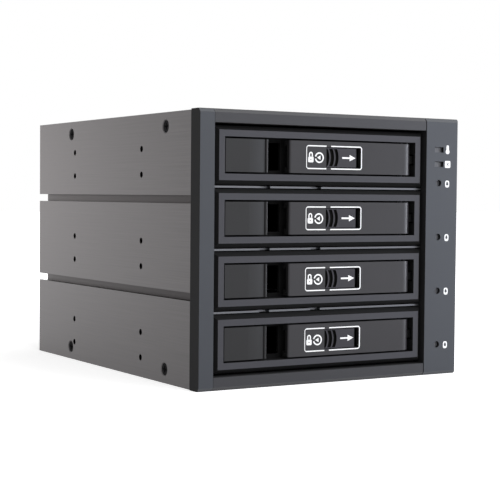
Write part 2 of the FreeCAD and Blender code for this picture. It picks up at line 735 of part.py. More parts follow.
def make_power_inlets():
    inlets = []
    end = BOARD_REAR + INLET_LENGTH
    floor = end - INLET_CAVITY_DEPTH
    for level in inlet_levels():
        inlet = inlet_body(level, 0, BOARD_REAR, end).cut(inlet_body(level, -INLET_WALL, floor, end))
        pins = []
        for pin in range(INLET_PIN_COUNT):
            z = level + INLET_PIN_PITCH * (pin - (INLET_PIN_COUNT - 1) / 2)
            half = INLET_PIN_SIZE / 2
            pins.append(box(INLET_COLUMN - half, INLET_COLUMN + half, floor, floor + INLET_PIN_LENGTH,
                            z - half, z + half))
        inlets.append(inlet.fuse(pins))
    return group(inlets)


def fan_corners():
    half = FAN_HALF - FAN_HOLE_INSET
    return [(FAN_X + side * half, FAN_Z + rise * half) for side in (-1, 1) for rise in (-1, 1)]


def fan_holes(y0, y1):
    return [rod_y(x, z, FAN_HOLE_RADIUS, y0, y1) for x, z in fan_corners()]


def make_rear_panel():
    half = SHELL_HALF - SHEET - REAR_EDGE_CLEARANCE
    low = SHEET
    high = SHELL_TOP - SHEET
    panel = box(-half, half, REAR_FRONT, REAR_BACK, low, high)
    left = INNER_LEFT_FACE + INNER_FLANGE + REAR_EDGE_CLEARANCE
    right = INNER_RIGHT_FACE - REAR_EDGE_CLEARANCE
    front = REAR_FRONT - REAR_FLANGE
    flanges = [box(left, right, front, REAR_FRONT, low, low + SHEET),
               box(left, right, front, REAR_FRONT, high - SHEET, high)]
    panel = panel.fuse(flanges).removeSplitter()
    cuts = [rod_y(FAN_X, FAN_Z, FAN_BORE_RADIUS, REAR_FRONT, REAR_BACK)]
    cuts += fan_holes(REAR_FRONT, REAR_BACK)
    cuts += [port_body(number, CUTOUT_CLEARANCE, REAR_FRONT, REAR_BACK) for number in range(TRAY_COUNT)]
    cuts += [inlet_body(level, CUTOUT_CLEARANCE, REAR_FRONT, REAR_BACK) for level in inlet_levels()]
    notch = SHELL_HALF - SHEET - GROOVE_DEPTH - REAR_EDGE_CLEARANCE
    for groove in GROOVES:
        reach = GROOVE_WIDTH / 2 + SHEET + REAR_EDGE_CLEARANCE
        cuts.append(box(-half, -notch, REAR_FRONT, REAR_BACK, groove - reach, groove + reach))
        cuts.append(box(notch, half, REAR_FRONT, REAR_BACK, groove - reach, groove + reach))
    return panel.cut(cuts)


def make_fan_frame():
    """A square frame with a round duct and narrowed corners; a plate on four arms holds the shaft."""
    outline = rounded_rectangle(FAN_X - FAN_HALF, FAN_X + FAN_HALF, FAN_Z - FAN_HALF, FAN_Z + FAN_HALF,
                                FAN_CORNER, REAR_BACK)
    frame = Part.Face(outline).extrude(Vector(0, FAN_DEPTH, 0))
    cuts = [rod_y(FAN_X, FAN_Z, FAN_BORE_RADIUS, REAR_BACK, FAN_BACK)] + fan_holes(REAR_BACK, FAN_BACK)
    for side in (-1, 1):
        for rise in (-1, 1):
            x = FAN_X + side * FAN_HALF
            z = FAN_Z + rise * FAN_HALF
            corner = [(x, z), (x - side * FAN_WAIST, z), (x, z - rise * FAN_WAIST)]
            cuts.append(prism_y(corner, REAR_BACK + FAN_FLANGE, FAN_BACK - FAN_FLANGE))
    frame = frame.cut(cuts)
    plate_front = FAN_BACK - FAN_PLATE
    reach = FAN_BORE_RADIUS + FAN_ARM_BITE
    width = FAN_ARM_WIDTH / 2
    shaft_front = REAR_BACK + ROTOR_FRONT_GAP + FAN_SHAFT_COVER
    arms = [box(FAN_X - reach, FAN_X + reach, plate_front, FAN_BACK, FAN_Z - width, FAN_Z + width),
            box(FAN_X - width, FAN_X + width, plate_front, FAN_BACK, FAN_Z - reach, FAN_Z + reach),
            rod_y(FAN_X, FAN_Z, FAN_PLATE_RADIUS, plate_front, FAN_BACK),
            rod_y(FAN_X, FAN_Z, FAN_SHAFT_RADIUS, shaft_front, plate_front)]
    return frame.fuse(arms)


def blade_section(radius, chord, angle):
    """A flat section of a blade, turned to its pitch about the line from the hub."""
    turn = math.radians(angle)
    along = Vector(math.cos(turn), math.sin(turn), 0) * (chord / 2)
    across = Vector(-math.sin(turn), math.cos(turn), 0) * (BLADE_THICKNESS / 2)
    centre = Vector(0, 0, radius)
    corners = [centre + along + across, centre - along + across,
               centre - along - across, centre + along - across]
    return Part.makePolygon(corners + [corners[0]])


def make_fan_rotor():
    """A hub that runs on the frame's shaft, with twisted blades that widen to their tips."""
    front = REAR_BACK + ROTOR_FRONT_GAP
    back = FAN_BACK - FAN_PLATE - ROTOR_REAR_GAP
    hub = rod_y(FAN_X, FAN_Z, HUB_RADIUS, front, back)
    root_radius = HUB_RADIUS - BLADE_ROOT_BITE
    root = blade_section(root_radius, BLADE_ROOT_CHORD, BLADE_ROOT_ANGLE)
    tip = blade_section(FAN_BORE_RADIUS, BLADE_TIP_CHORD, BLADE_TIP_ANGLE)
    blade = Part.makeLoft([root, tip], True, True)
    blade.translate(Vector(FAN_X, (front + back) / 2, FAN_Z))
    blade = blade.common(rod_y(FAN_X, FAN_Z, FAN_BORE_RADIUS - BLADE_TIP_CLEARANCE, front, back))
    blades = []
    for number in range(BLADE_COUNT):
        copy = blade.copy()
        copy.rotate(Vector(FAN_X, 0, FAN_Z), Vector(0, 1, 0), 360 * number / BLADE_COUNT)
        blades.append(copy)
    bore = rod_y(FAN_X, FAN_Z, FAN_SHAFT_RADIUS + FAN_SHAFT_CLEARANCE, front + FAN_SHAFT_COVER, back)
    return hub.fuse(blades).cut(bore)


def make_fan_screws():
    """Screws from inside the rear panel into the frame of the fan."""
    screws = []
    for x, z in fan_corners():
        shaft = rod_y(x, z, FAN_HOLE_RADIUS - FAN_SCREW_FIT, REAR_FRONT, REAR_FRONT + FAN_SCREW_LENGTH)
        head = rod_y(x, z, FAN_SCREW_HEAD_RADIUS, REAR_FRONT - FAN_SCREW_HEAD, REAR_FRONT)
        screws.append(head.fuse(shaft))
    return group(screws)


# ---- One tray, made about Z = 0 and lifted to its bay ----

def make_carrier():
    """A sheet pan under the drive, with side walls, cooling slots and four screw holes."""
    floor_low = -TRAY_HEIGHT / 2
    floor_high = floor_low + PAN_SHEET
    outer = PAN_HALF + PAN_SHEET
    pan = box(TRAY_X - outer, TRAY_X + outer, FACE_BACK, PAN_REAR, floor_low, floor_low + PAN_WALL_HEIGHT)
    pan = pan.cut(box(TRAY_X - PAN_HALF, TRAY_X + PAN_HALF, FACE_BACK, PAN_REAR,
                      floor_high, floor_low + PAN_WALL_HEIGHT))
    cuts = []
    for column in (-1, 1):
        for row in range(2):
            x = TRAY_X + column * DRIVE_HOLE_PITCH_X / 2
            y = DRIVE_REAR - DRIVE_HOLE_FROM_REAR - DRIVE_HOLE_PITCH_Y * row
            cuts.append(rod_z(x, y, DRIVE_HOLE_RADIUS, floor_low, floor_high))
    middle = (FACE_BACK + PAN_REAR) / 2
    for column in range(PAN_SLOT_COLUMNS):
        x = TRAY_X + (column - (PAN_SLOT_COLUMNS - 1) / 2) * (PAN_SLOT_WIDTH + PAN_SLOT_GAP)
        for row in range(PAN_SLOT_ROWS):
            y = middle + (row - (PAN_SLOT_ROWS - 1) / 2) * (PAN_SLOT_LENGTH + PAN_SLOT_GAP)
            cuts.append(box(x - PAN_SLOT_WIDTH / 2, x + PAN_SLOT_WIDTH / 2,
                            y - PAN_SLOT_LENGTH / 2, y + PAN_SLOT_LENGTH / 2, floor_low, floor_high))
    return pan.cut(cuts)


def make_runners():
    """A pair of moulded rails beside the pan, open outwards around the guides' ribs."""
    inner = TRAY_X - PAN_HALF - PAN_SHEET
    outer = TRAY_X - TRAY_WIDTH / 2
    half = RUNNER_HEIGHT / 2
    channel = GUIDE_RIB_HEIGHT / 2 + GUIDE_RIB_FIT
    web = inner - RUNNER_WALL
    rail = box(outer, inner, FACE_BACK, PAN_REAR, -half, half)
    cuts = [box(outer, web, FACE_BACK, PAN_REAR, -channel, channel)]
    for side in (-1, 1):
        near = side * (channel + RUNNER_WALL)
        far = side * (half - RUNNER_WALL)
        cuts.append(box(outer, web, FACE_BACK, PAN_REAR, min(near, far), max(near, far)))
    rail = rail.cut(cuts)
    return group([rail, mirror_tray(rail)])


def make_face():
    """The bevelled ring with its recess, the floor behind it and the hollow back."""
    left = TRAY_X - TRAY_WIDTH / 2
    right = TRAY_X + TRAY_WIDTH / 2
    half = TRAY_HEIGHT / 2
    bevel_back = FACE_RECESS + FACE_BEVEL_DEPTH
    rings = []
    for inset_x, inset_z, y in ((FACE_BEVEL_X, FACE_BEVEL_Z, FACE_RECESS), (0, 0, bevel_back)):
        corners = [Vector(left + inset_x, y, inset_z - half), Vector(right - inset_x, y, inset_z - half),
                   Vector(right - inset_x, y, half - inset_z), Vector(left + inset_x, y, half - inset_z)]
        rings.append(Part.makePolygon(corners + [corners[0]]))
    bevel = Part.makeLoft(rings, True, True)
    body = box(left, right, bevel_back, FACE_BACK, -half, half)
    face = bevel.fuse(body)
    recess = box(OPENING_LEFT, OPENING_RIGHT, FACE_RECESS, FLOOR_FRONT,
                 -OPENING_HALF_HEIGHT, OPENING_HALF_HEIGHT)
    hollow = box(left + FACE_WALL, right - FACE_WALL, FLOOR_BACK, FACE_BACK,
                 FACE_WALL - half, half - FACE_WALL)
    window_half = FINGER_WINDOW_HEIGHT / 2
    window = box(BLANK_RIGHT + INSERT_GAP, LEVER_LEFT - INSERT_GAP, FLOOR_FRONT, FLOOR_BACK,
                 -window_half, window_half)
    reach = CLAW_REACH + CLAW_ROOM
    claw_half = CLAW_WIDTH / 2 + CLAW_ROOM
    claw_room = box(PIN_X - KNUCKLE_RADIUS, PIN_X + reach, PIN_Y - CLAW_THICKNESS, FLOOR_BACK,
                    -claw_half, claw_half)
    hook_half = HOOK_WIDTH / 2 + HOOK_CLEARANCE
    hook_left = LOCK_LEFT - HOOK_TOE - HOOK_CLEARANCE
    hook_right = LOCK_LEFT + HOOK_THICKNESS + LOCK_TRAVEL + HOOK_CLEARANCE
    hook_slot = box(hook_left, hook_right, FLOOR_FRONT, FLOOR_BACK, -hook_half, hook_half)
    pin_hole = rod_z(PIN_X, PIN_Y, PIN_RADIUS + PIN_FIT, -OPENING_HALF_HEIGHT - PIN_SEAT, half)
    return face.cut([recess, hollow, window, claw_room, hook_slot, pin_hole])


def make_blank():
    """The fixed insert: flat at its left, then a slope that sinks to a rounded bead at the finger gap."""
    slope_start = BLANK_LEFT + BLANK_FLAT
    bead_x = BLANK_RIGHT - BLANK_BEAD_RADIUS
    sunk = INSERT_FRONT + BLANK_SLOPE_DEPTH
    mid_x = (slope_start + bead_x) / 2
    mid_y = INSERT_FRONT + BLANK_SLOPE_RISE
    z = -PANEL_HALF_HEIGHT
    start = Vector(BLANK_LEFT, INSERT_FRONT, z)
    slope = Vector(slope_start, INSERT_FRONT, z)
    bead_left = Vector(bead_x - BLANK_BEAD_RADIUS, sunk, z)
    bead_top = Vector(bead_x, sunk - BLANK_BEAD_RADIUS, z)
    bead_right = Vector(BLANK_RIGHT, sunk, z)
    corners = [bead_right, Vector(BLANK_RIGHT, FLOOR_FRONT, z),
               Vector(BLANK_RIGHT - BLANK_WALL, FLOOR_FRONT, z),
               Vector(BLANK_RIGHT - BLANK_WALL, sunk + BLANK_WALL, z),
               Vector(slope_start - BLANK_WALL / 2, INSERT_FRONT + BLANK_WALL, z),
               Vector(BLANK_LEFT + BLANK_WALL, INSERT_FRONT + BLANK_WALL, z),
               Vector(BLANK_LEFT + BLANK_WALL, FLOOR_FRONT, z), Vector(BLANK_LEFT, FLOOR_FRONT, z), start]
    edges = [Part.LineSegment(start, slope).toShape(),
             Part.Arc(slope, Vector(mid_x, mid_y, z), bead_left).toShape(),
             Part.Arc(bead_left, bead_top, bead_right).toShape()]
    for first, second in zip(corners, corners[1:]):
        edges.append(Part.LineSegment(first, second).toShape())
    return Part.Face(Part.Wire(edges)).extrude(Vector(0, 0, 2 * PANEL_HALF_HEIGHT))


def make_lever():
    """A channel-shaped lever: a knuckle on its pin, a round nose, a claw and a window for the lock."""
    half = PANEL_HALF_HEIGHT
    plate_back = FACE_RECESS + LEVER_PLATE
    lip_front = LEVER_REAR - LEVER_LIP
    skirt_inner = half - LEVER_SKIRT
    lip_inner = skirt_inner - LEVER_LIP_REACH
    outline = [(FACE_RECESS, -half), (LEVER_REAR, -half), (LEVER_REAR, -lip_inner), (lip_front, -lip_inner),
               (lip_front, -skirt_inner), (plate_back, -skirt_inner), (plate_back, skirt_inner),
               (lip_front, skirt_inner), (lip_front, lip_inner), (LEVER_REAR, lip_inner),
               (LEVER_REAR, half), (FACE_RECESS, half)]
    channel = prism_x(outline, LEVER_LEFT, PIN_X)
    grip_edges = []
    for edge in channel.Edges:
        at_grip = abs(edge.BoundBox.XMax - LEVER_LEFT) < SEAM
        upright = edge.BoundBox.ZLength > half and edge.BoundBox.YMax < FACE_RECESS + SEAM
        if at_grip and upright:
            grip_edges.append(edge)
    channel = channel.makeFillet(LEVER_GRIP_RADIUS, grip_edges)
    knuckle = rod_z(PIN_X, PIN_Y, KNUCKLE_RADIUS, -half, half)
    nose_centre = FACE_RECESS + NOSE_RADIUS
    tip_x = PIN_X + NOSE_REACH
    tip_y = nose_centre - math.sqrt(NOSE_RADIUS ** 2 - NOSE_REACH ** 2)
    nose_plan = [(PIN_X, FACE_RECESS), (tip_x, FACE_RECESS), (tip_x, tip_y),
                 (PIN_X + KNUCKLE_RADIUS, PIN_Y), (PIN_X, PIN_Y)]
    nose = prism_z(nose_plan, -half, half).common(rod_z(PIN_X, nose_centre, NOSE_RADIUS, -half, half))
    claw = box(PIN_X, PIN_X + CLAW_REACH, PIN_Y, PIN_Y + CLAW_THICKNESS, -CLAW_WIDTH / 2, CLAW_WIDTH / 2)
    lever = channel.fuse([knuckle, nose, claw]).removeSplitter()
    window_half = LOCK_HEIGHT / 2 + LOCK_CLEARANCE
    window = box(LOCK_LEFT - LOCK_CLEARANCE, LOCK_LEFT + LOCK_LENGTH + LOCK_TRAVEL + LOCK_CLEARANCE,
                 FACE_RECESS, plate_back, -window_half, window_half)
    bore = rod_z(PIN_X, PIN_Y, PIN_RADIUS + PIN_RUNNING_CLEARANCE, -half, half)
    return lever.cut([window, bore])


def make_lever_pin():
    return rod_z(PIN_X, PIN_Y, PIN_RADIUS, -OPENING_HALF_HEIGHT - PIN_SEAT, OPENING_HALF_HEIGHT + PIN_SEAT)


def bowed_slab(crest, length, front, back):
    """A slab between the lock's grip margins whose right side bows out to a crest."""
    half = LOCK_HEIGHT / 2 - GRIP_MARGIN
    round_side = rod_y(crest - GRIP_BOW_RADIUS, 0, GRIP_BOW_RADIUS, front, back)
    slab = round_side.common(box(crest - GRIP_BOW_RADIUS, crest, front, back, -half, half))
    return slab.cut(rod_y(crest - length - GRIP_BOW_RADIUS, 0, GRIP_BOW_RADIUS, front, back))


def make_lock():
    """The slider in the lever: a button with a ribbed grip, a flange behind the plate and a hook."""
    front = FACE_RECESS + LOCK_SINK
    plate_back = FACE_RECESS + LEVER_PLATE
    flange_front = plate_back + LOCK_CLEARANCE
    flange_back = flange_front + LOCK_FLANGE
    right = LOCK_LEFT + LOCK_LENGTH
    half = LOCK_HEIGHT / 2
    plan = [(LOCK_LEFT, front), (right - LOCK_BEVEL, front), (right, front + LOCK_BEVEL),
            (right, flange_front), (LOCK_LEFT, flange_front)]
    button = prism_z(plan, -half, half)
    flange_half = half + LOCK_FLANGE_OVERLAP
    flange = box(LOCK_LEFT - LOCK_FLANGE_OVERLAP, right + LOCK_FLANGE_OVERLAP, flange_front, flange_back,
                 -flange_half, flange_half)
    toe_front = FLOOR_BACK + HOOK_CLEARANCE / 2
    hook_end = toe_front + HOOK_TOE_HEIGHT
    hook = box(LOCK_LEFT, LOCK_LEFT + HOOK_THICKNESS, flange_back, hook_end,
               -HOOK_WIDTH / 2, HOOK_WIDTH / 2)
    toe = box(LOCK_LEFT - HOOK_TOE, LOCK_LEFT, toe_front, hook_end, -HOOK_WIDTH / 2, HOOK_WIDTH / 2)
    grip = bowed_slab(LOCK_LEFT + GRIP_LENGTH, GRIP_LENGTH, front, front + GRIP_DEPTH)
    button = button.cut(grip)
    ribs = []
    for number in range(RIB_COUNT):
        crest = LOCK_LEFT + RIB_FIRST + RIB_PITCH * number
        ribs.append(bowed_slab(crest, RIB_WIDTH, front + RIB_SINK, front + GRIP_DEPTH))
    return button.fuse([flange, hook, toe] + ribs).removeSplitter()


# ---- The pieces ----

wall_left = make_side_wall()
parts["side_wall_left"] = wall_left
parts["side_wall_right"] = mirror_x(wall_left)
parts["top_cover"] = make_top_cover()
parts["bottom_plate"] = make_bottom_plate()
parts["cover_screws"] = make_cover_screws()
parts["inner_wall_left"] = inner_sheet(INNER_LEFT_FACE, -1)
parts["lamp_channel_wall"] = inner_sheet(INNER_RIGHT_FACE, 1)

guide = make_guide()
guides = [lift(guide, TRAY_PITCH * number) for number in range(TRAY_COUNT)]
parts["guide_rails_left"] = group(guides)
parts["guide_rails_right"] = group([mirror_tray(shape) for shape in guides])

shelf = make_shelf()
for number in range(TRAY_COUNT - 1):
    parts[f"shelf_{number + 1}"] = lift(shelf, TRAY_PITCH * number)

parts["left_pillar"] = make_left_pillar()
parts["top_rail"] = make_top_rail()
parts["bottom_rail"] = make_bottom_rail()
parts["lamp_panel"] = make_lamp_panel()
parts["light_pipes"] = make_light_pipes()
parts["lamps"] = make_lamps()
parts["lamp_board"] = make_lamp_board()

parts["backplane_board"] = make_backplane()
socket = make_drive_socket()
for number in range(TRAY_COUNT):
    parts[f"drive_socket_{number + 1}"] = lift(socket, TRAY_PITCH * number)
parts["data_ports"] = make_data_ports()
parts["power_inlets"] = make_power_inlets()
parts["rear_panel"] = make_rear_panel()
parts["fan_frame"] = make_fan_frame()
parts["fan_rotor"] = make_fan_rotor()
parts["fan_screws"] = make_fan_screws()

tray_pieces = {
    "carrier": make_carrier(),
    "runners": make_runners(),
    "face": make_face(),
    "blank": make_blank(),
    "lever": make_lever(),
    "lever_pin": make_lever_pin(),
    "lock": make_lock(),
}
for number in range(TRAY_COUNT):
    for name, shape in tray_pieces.items():
        parts[f"tray_{number + 1}_{name}"] = lift(shape, tray_level(number))

os.makedirs("parts", exist_ok=True)
for name, shape in parts.items():
    shape.translate(Vector(0, -TOTAL_DEPTH / 2, 0))
    shape.exportStep(f"parts/{name}.step")
print(f"{len(parts)} pieces, {BEZEL_WIDTH:.1f} wide, {TOTAL_DEPTH:.1f} deep, {CAGE_HEIGHT:.1f} high")
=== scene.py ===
# %% [markdown]
# # A hot swap drive cage
#
# This cage slides into three 5.25-inch bays of a computer and holds four hard drives in trays.
# The solid parts come from a CAD model. This lesson loads them, sets up a small studio round them,
# gives every part the finish of the real one, and adds what the solids leave out: the ends of the
# pressed grooves, the screws with their cross recesses, the white printed signs, and the metal
# contacts and pins of the sockets and plugs.

import json
import math

import bmesh
import bpy
import numpy as np
from mathutils import Matrix, Vector

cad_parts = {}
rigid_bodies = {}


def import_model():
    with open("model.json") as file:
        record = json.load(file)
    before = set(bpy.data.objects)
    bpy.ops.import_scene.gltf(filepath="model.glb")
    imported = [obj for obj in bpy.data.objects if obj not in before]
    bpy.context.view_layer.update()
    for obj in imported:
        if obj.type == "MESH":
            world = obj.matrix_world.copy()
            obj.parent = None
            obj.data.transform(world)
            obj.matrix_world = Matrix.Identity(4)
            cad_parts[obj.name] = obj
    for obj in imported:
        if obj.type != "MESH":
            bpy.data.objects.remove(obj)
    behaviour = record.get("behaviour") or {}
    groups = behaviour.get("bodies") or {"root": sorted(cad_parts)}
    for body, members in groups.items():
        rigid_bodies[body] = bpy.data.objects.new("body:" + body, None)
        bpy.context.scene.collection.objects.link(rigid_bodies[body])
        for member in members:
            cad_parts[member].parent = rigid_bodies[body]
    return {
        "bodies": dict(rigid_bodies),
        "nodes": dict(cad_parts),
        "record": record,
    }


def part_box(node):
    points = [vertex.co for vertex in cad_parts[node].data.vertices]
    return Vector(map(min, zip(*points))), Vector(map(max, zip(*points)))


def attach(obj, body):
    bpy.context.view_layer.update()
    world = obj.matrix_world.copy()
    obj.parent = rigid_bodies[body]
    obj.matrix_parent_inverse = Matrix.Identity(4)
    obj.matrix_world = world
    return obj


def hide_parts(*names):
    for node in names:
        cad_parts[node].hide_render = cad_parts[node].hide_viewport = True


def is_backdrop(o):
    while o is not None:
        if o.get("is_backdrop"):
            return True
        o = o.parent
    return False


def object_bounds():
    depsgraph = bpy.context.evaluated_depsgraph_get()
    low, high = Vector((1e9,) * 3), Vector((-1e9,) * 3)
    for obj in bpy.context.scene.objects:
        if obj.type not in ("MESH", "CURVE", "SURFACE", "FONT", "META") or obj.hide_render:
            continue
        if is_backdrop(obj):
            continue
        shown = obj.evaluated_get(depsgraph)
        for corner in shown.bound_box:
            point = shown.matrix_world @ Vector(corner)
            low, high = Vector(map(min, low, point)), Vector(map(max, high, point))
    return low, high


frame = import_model()
cad_low, cad_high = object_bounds()
MM = 0.001
box_mm = [round(side / MM, 1) for side in cad_high - cad_low]
print(len(frame["nodes"]), "solids in a box of", box_mm, "mm")

# %% [markdown]
# ## The camera
#
# A box looks best through a long lens, which keeps its upright edges upright and doesn't stretch
# its front. The camera stands in front and to the left, a little above the middle of the cage. Its
# place, its three turns, its lens and a small shift of the lens are all that decide the view, so
# they are named here and nothing else in the file depends on them. The direction of view is worked
# out from the turn and the dip, and the roll then tilts the two directions that lie across it.

# %% Camera
CAMERA_PLACE = Vector((-0.36885, -0.63107, 0.08837))
CAMERA_TURN = math.radians(30.973)
CAMERA_DIP = math.radians(2.206)
CAMERA_ROLL = math.radians(0.4875)
CAMERA_LENS_MM = 97.51
CAMERA_SENSOR_MM = 36
CAMERA_SHIFT = (0.0101, -0.0025)

ahead = Vector((math.sin(CAMERA_TURN) * math.cos(CAMERA_DIP),
                math.cos(CAMERA_TURN) * math.cos(CAMERA_DIP), -math.sin(CAMERA_DIP)))
level = Vector((math.cos(CAMERA_TURN), -math.sin(CAMERA_TURN), 0))
upward = level.cross(ahead)
view_right = math.cos(CAMERA_ROLL) * level + math.sin(CAMERA_ROLL) * upward
view_up = math.cos(CAMERA_ROLL) * upward - math.sin(CAMERA_ROLL) * level

camera_data = bpy.data.cameras.new("camera")
camera_data.lens = CAMERA_LENS_MM
camera_data.sensor_width = CAMERA_SENSOR_MM
camera_data.shift_x, camera_data.shift_y = CAMERA_SHIFT
camera = bpy.data.objects.new("camera", camera_data)
bpy.context.collection.objects.link(camera)
turned = Matrix((view_right, view_up, -ahead)).transposed()
camera.matrix_world = Matrix.Translation(CAMERA_PLACE) @ turned.to_4x4()
bpy.context.scene.camera = camera
print("camera looks along", [round(part, 3) for part in ahead])

# %% [markdown]
# ## Helpers for materials
#
# Every material below is a small graph of nodes. One function adds a node, fills its settings and
# joins it to the nodes before it, so a graph reads from top to bottom like a recipe. Colours are
# written as the sRGB hex values that a paint chart would give, and a second function turns them
# into the linear values that light is added up in. A third opens an empty material, and the last
# tells the light that the camera sees from the light that only falls on matt surfaces.

# %% Helpers for materials
def linear(code):
    """The linear colour of an sRGB code: the dark end is divided by 12.92, the rest raised to 2.4."""
    parts = np.array([int(code[start:start + 2], 16) for start in (1, 3, 5)]) / 255
    bright = ((parts + 0.055) / 1.055) ** 2.4
    return (*np.where(parts <= 0.04045, parts / 12.92, bright).tolist(), 1.0)


def add_node(tree, kind, settings, links=()):
    """Add a node. A setting is a socket's name or number or a property, a link is a socket and its source."""
    node = tree.nodes.new(kind)
    for key, value in settings.items():
        if isinstance(key, int) or key in node.inputs:
            node.inputs[key].default_value = value
        else:
            setattr(node, key, value)
    for key, source in links:
        tree.links.new(source, node.inputs[key])
    return node


def start_material(name):
    """An empty material, its node tree and the object coordinates, which are in metres."""
    material = bpy.data.materials.new(name)
    material.use_nodes = True
    tree = material.node_tree
    tree.nodes.clear()
    place = add_node(tree, "ShaderNodeTexCoord", {})
    return material, tree, place


def seen_rays(tree):
    """1 for what the camera sees, also in a shiny or clear surface, and 0 for light on a matt one."""
    ray = add_node(tree, "ShaderNodeLightPath", {})
    shiny = add_node(tree, "ShaderNodeMath", {"operation": "MAXIMUM"},
                     [(0, ray.outputs["Is Glossy Ray"]), (1, ray.outputs["Is Transmission Ray"])])
    return add_node(tree, "ShaderNodeMath", {"operation": "MAXIMUM"},
                    [(0, ray.outputs["Is Camera Ray"]), (1, shiny.outputs[0])])


print("#808080 in linear light is", round(linear("#808080")[0], 3))

# %% [markdown]
# ## The studio
#
# The cage stands on a white floor in front of a white background, which also show in whatever is
# shiny. Light on its way to a matt surface finds them dimmer, as in a studio whose walls are far
# away, so that black plastic stays black. The floor's own glow grows with the distance from the
# cage, which hides the line where it meets the background and keeps the shadow beside the cage.

# %% Floor and background
FLOOR_HALF = 6.0
FLOOR_WHITE = "#e8e8e8"
GLOW_NEAR, GLOW_FAR = 0.68, 1.0
GLOW_START, GLOW_END = 0.1, 0.6
AMBIENT = 0.25

floor_mesh = bpy.data.meshes.new("floor")
floor_corners = [(FLOOR_HALF * x, FLOOR_HALF * y, 0) for x, y in ((-1, -1), (1, -1), (1, 1), (-1, 1))]
floor_mesh.from_pydata(floor_corners, [], [(0, 1, 2, 3)])
floor = bpy.data.objects.new("floor", floor_mesh)
bpy.context.collection.objects.link(floor)
floor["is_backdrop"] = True

floor_material, tree, place = start_material("white studio floor")
paper = add_node(tree, "ShaderNodeBsdfDiffuse", {"Color": linear(FLOOR_WHITE)})
distance = add_node(tree, "ShaderNodeVectorMath", {"operation": "LENGTH"}, [(0, place.outputs["Object"])])
fade = add_node(tree, "ShaderNodeMapRange",
                {"From Min": GLOW_START, "From Max": GLOW_END, "To Min": GLOW_NEAR, "To Max": GLOW_FAR},
                [("Value", distance.outputs["Value"])])
own_light = add_node(tree, "ShaderNodeMath", {"operation": "MULTIPLY"},
                     [(0, fade.outputs[0]), (1, seen_rays(tree).outputs[0])])
glow = add_node(tree, "ShaderNodeEmission", {}, [("Strength", own_light.outputs[0])])
paper_and_glow = add_node(tree, "ShaderNodeAddShader", {}, [(0, paper.outputs[0]), (1, glow.outputs[0])])
add_node(tree, "ShaderNodeOutputMaterial", {}, [("Surface", paper_and_glow.outputs[0])])
floor_mesh.materials.append(floor_material)

world = bpy.data.worlds.new("white room")
world.use_nodes = True
tree = world.node_tree
tree.nodes.clear()
strength = add_node(tree, "ShaderNodeMapRange", {"To Min": AMBIENT, "To Max": 1.0},
                    [("Value", seen_rays(tree).outputs[0])])
sky = add_node(tree, "ShaderNodeBackground", {"Color": (1, 1, 1, 1)}, [("Strength", strength.outputs[0])])
add_node(tree, "ShaderNodeOutputWorld", {}, [("Surface", sky.outputs[0])])
bpy.context.scene.world = world
print("the floor glows from", GLOW_NEAR, "beside the cage to", GLOW_FAR, "far away")

# %% [markdown]
# ## The lights
#
# Five lamps are enough. A broad cool one on the right gives the front faces a sheen that grows
# towards the right, and a narrow one beside it draws a bright line on the rounded ends of the
# levers. The key light fills the trays. It is large and stands far in front, so that no flat
# sheet mirrors it as a small hot spot. One overhead picks out the upward chamfers, and one behind
# the left side makes the brushed sheet shine towards its rear edge. All five are aimed at the
# middle of the cage.

# %% Lights
LIGHTS = {
    "light_right": {"at": (0.85, -0.5, 0.25), "size": (0.75, 0.7), "power": 4, "tint": "#e6eeff"},
    "light_edge": {"at": (0.95, -0.25, 0.2), "size": (0.25, 0.6), "power": 4, "tint": "#f4f6ff"},
    "light_key": {"at": (0.35, -2.0, 1.3), "size": (2.4, 2.0), "power": 42, "tint": "#ffffff"},
    "light_above": {"at": (0.8, 0.0, 1.4), "size": (1.2, 1.2), "power": 6, "tint": "#ffffff"},
    "light_left_rear": {"at": (-0.65, 2.4, 0.1), "size": (1.0, 0.45), "power": 4, "tint": "#fff8f6"},
}
cage_middle = Vector((0, 0, (cad_low.z + cad_high.z) / 2))
for name, light in LIGHTS.items():
    lamp = bpy.data.lights.new(name, "AREA")
    lamp.shape = "RECTANGLE"
    lamp.size, lamp.size_y = light["size"]
    lamp.energy = light["power"]
    lamp.color = linear(light["tint"])[:3]
    lamp_object = bpy.data.objects.new(name, lamp)
    bpy.context.collection.objects.link(lamp_object)
    stand = Vector(light["at"])
    facing = (cage_middle - stand).to_track_quat("-Z", "Y").to_matrix().to_4x4()
    lamp_object.matrix_world = Matrix.Translation(stand) @ facing
bpy.context.scene.view_settings.view_transform = "Standard"
print(len(LIGHTS), "lights round the cage")

# %% [markdown]
# ## Satin moulded plastic
#
# The front frame and the trays are ABS, moulded in a steel tool. ABS has an IOR near 1.54, and the
# tool's fine spark-eroded grain makes it satin rather than glossy. The faces that look forwards
# are the finest, so they catch the light and look grey. The flanks and the deep surfaces, where
# the tool is coarser, are dull, and their nearly black colour is painted shade for the sides and
# recesses. Both come from one graph: a mask from the direction that a surface faces and from its
# depth behind the front mixes the grey colour with the painted shade and two roughnesses, so a new
# piece of any shape gets them right by itself. The mask's edge is soft in direction, so that the
# painted shade darkens a rounded corner gradually. A slow change of tone comes from how the plastic
# flowed in the mould. Real grain is about 0.05 mm, far too fine to show, so it is drawn four times
# coarser. Black ABS reflects less than its IOR says where the grain is coarse, which the specular
# level, one number for the whole material, stands for.

# %% Satin moulded plastic
ABS_IOR = 1.54
GRAIN_MM = 0.2
TONE_MM = 45.0
FACE_TURN, CHAMFER_TURN, EDGE_TURN = -0.95, -0.45, -0.15
TURN_SOFTNESS = 0.1
FLANK_ROUGHNESS = 0.9
GRAIN_HEIGHT_MM, GRAIN_STRENGTH = 0.02, 0.12


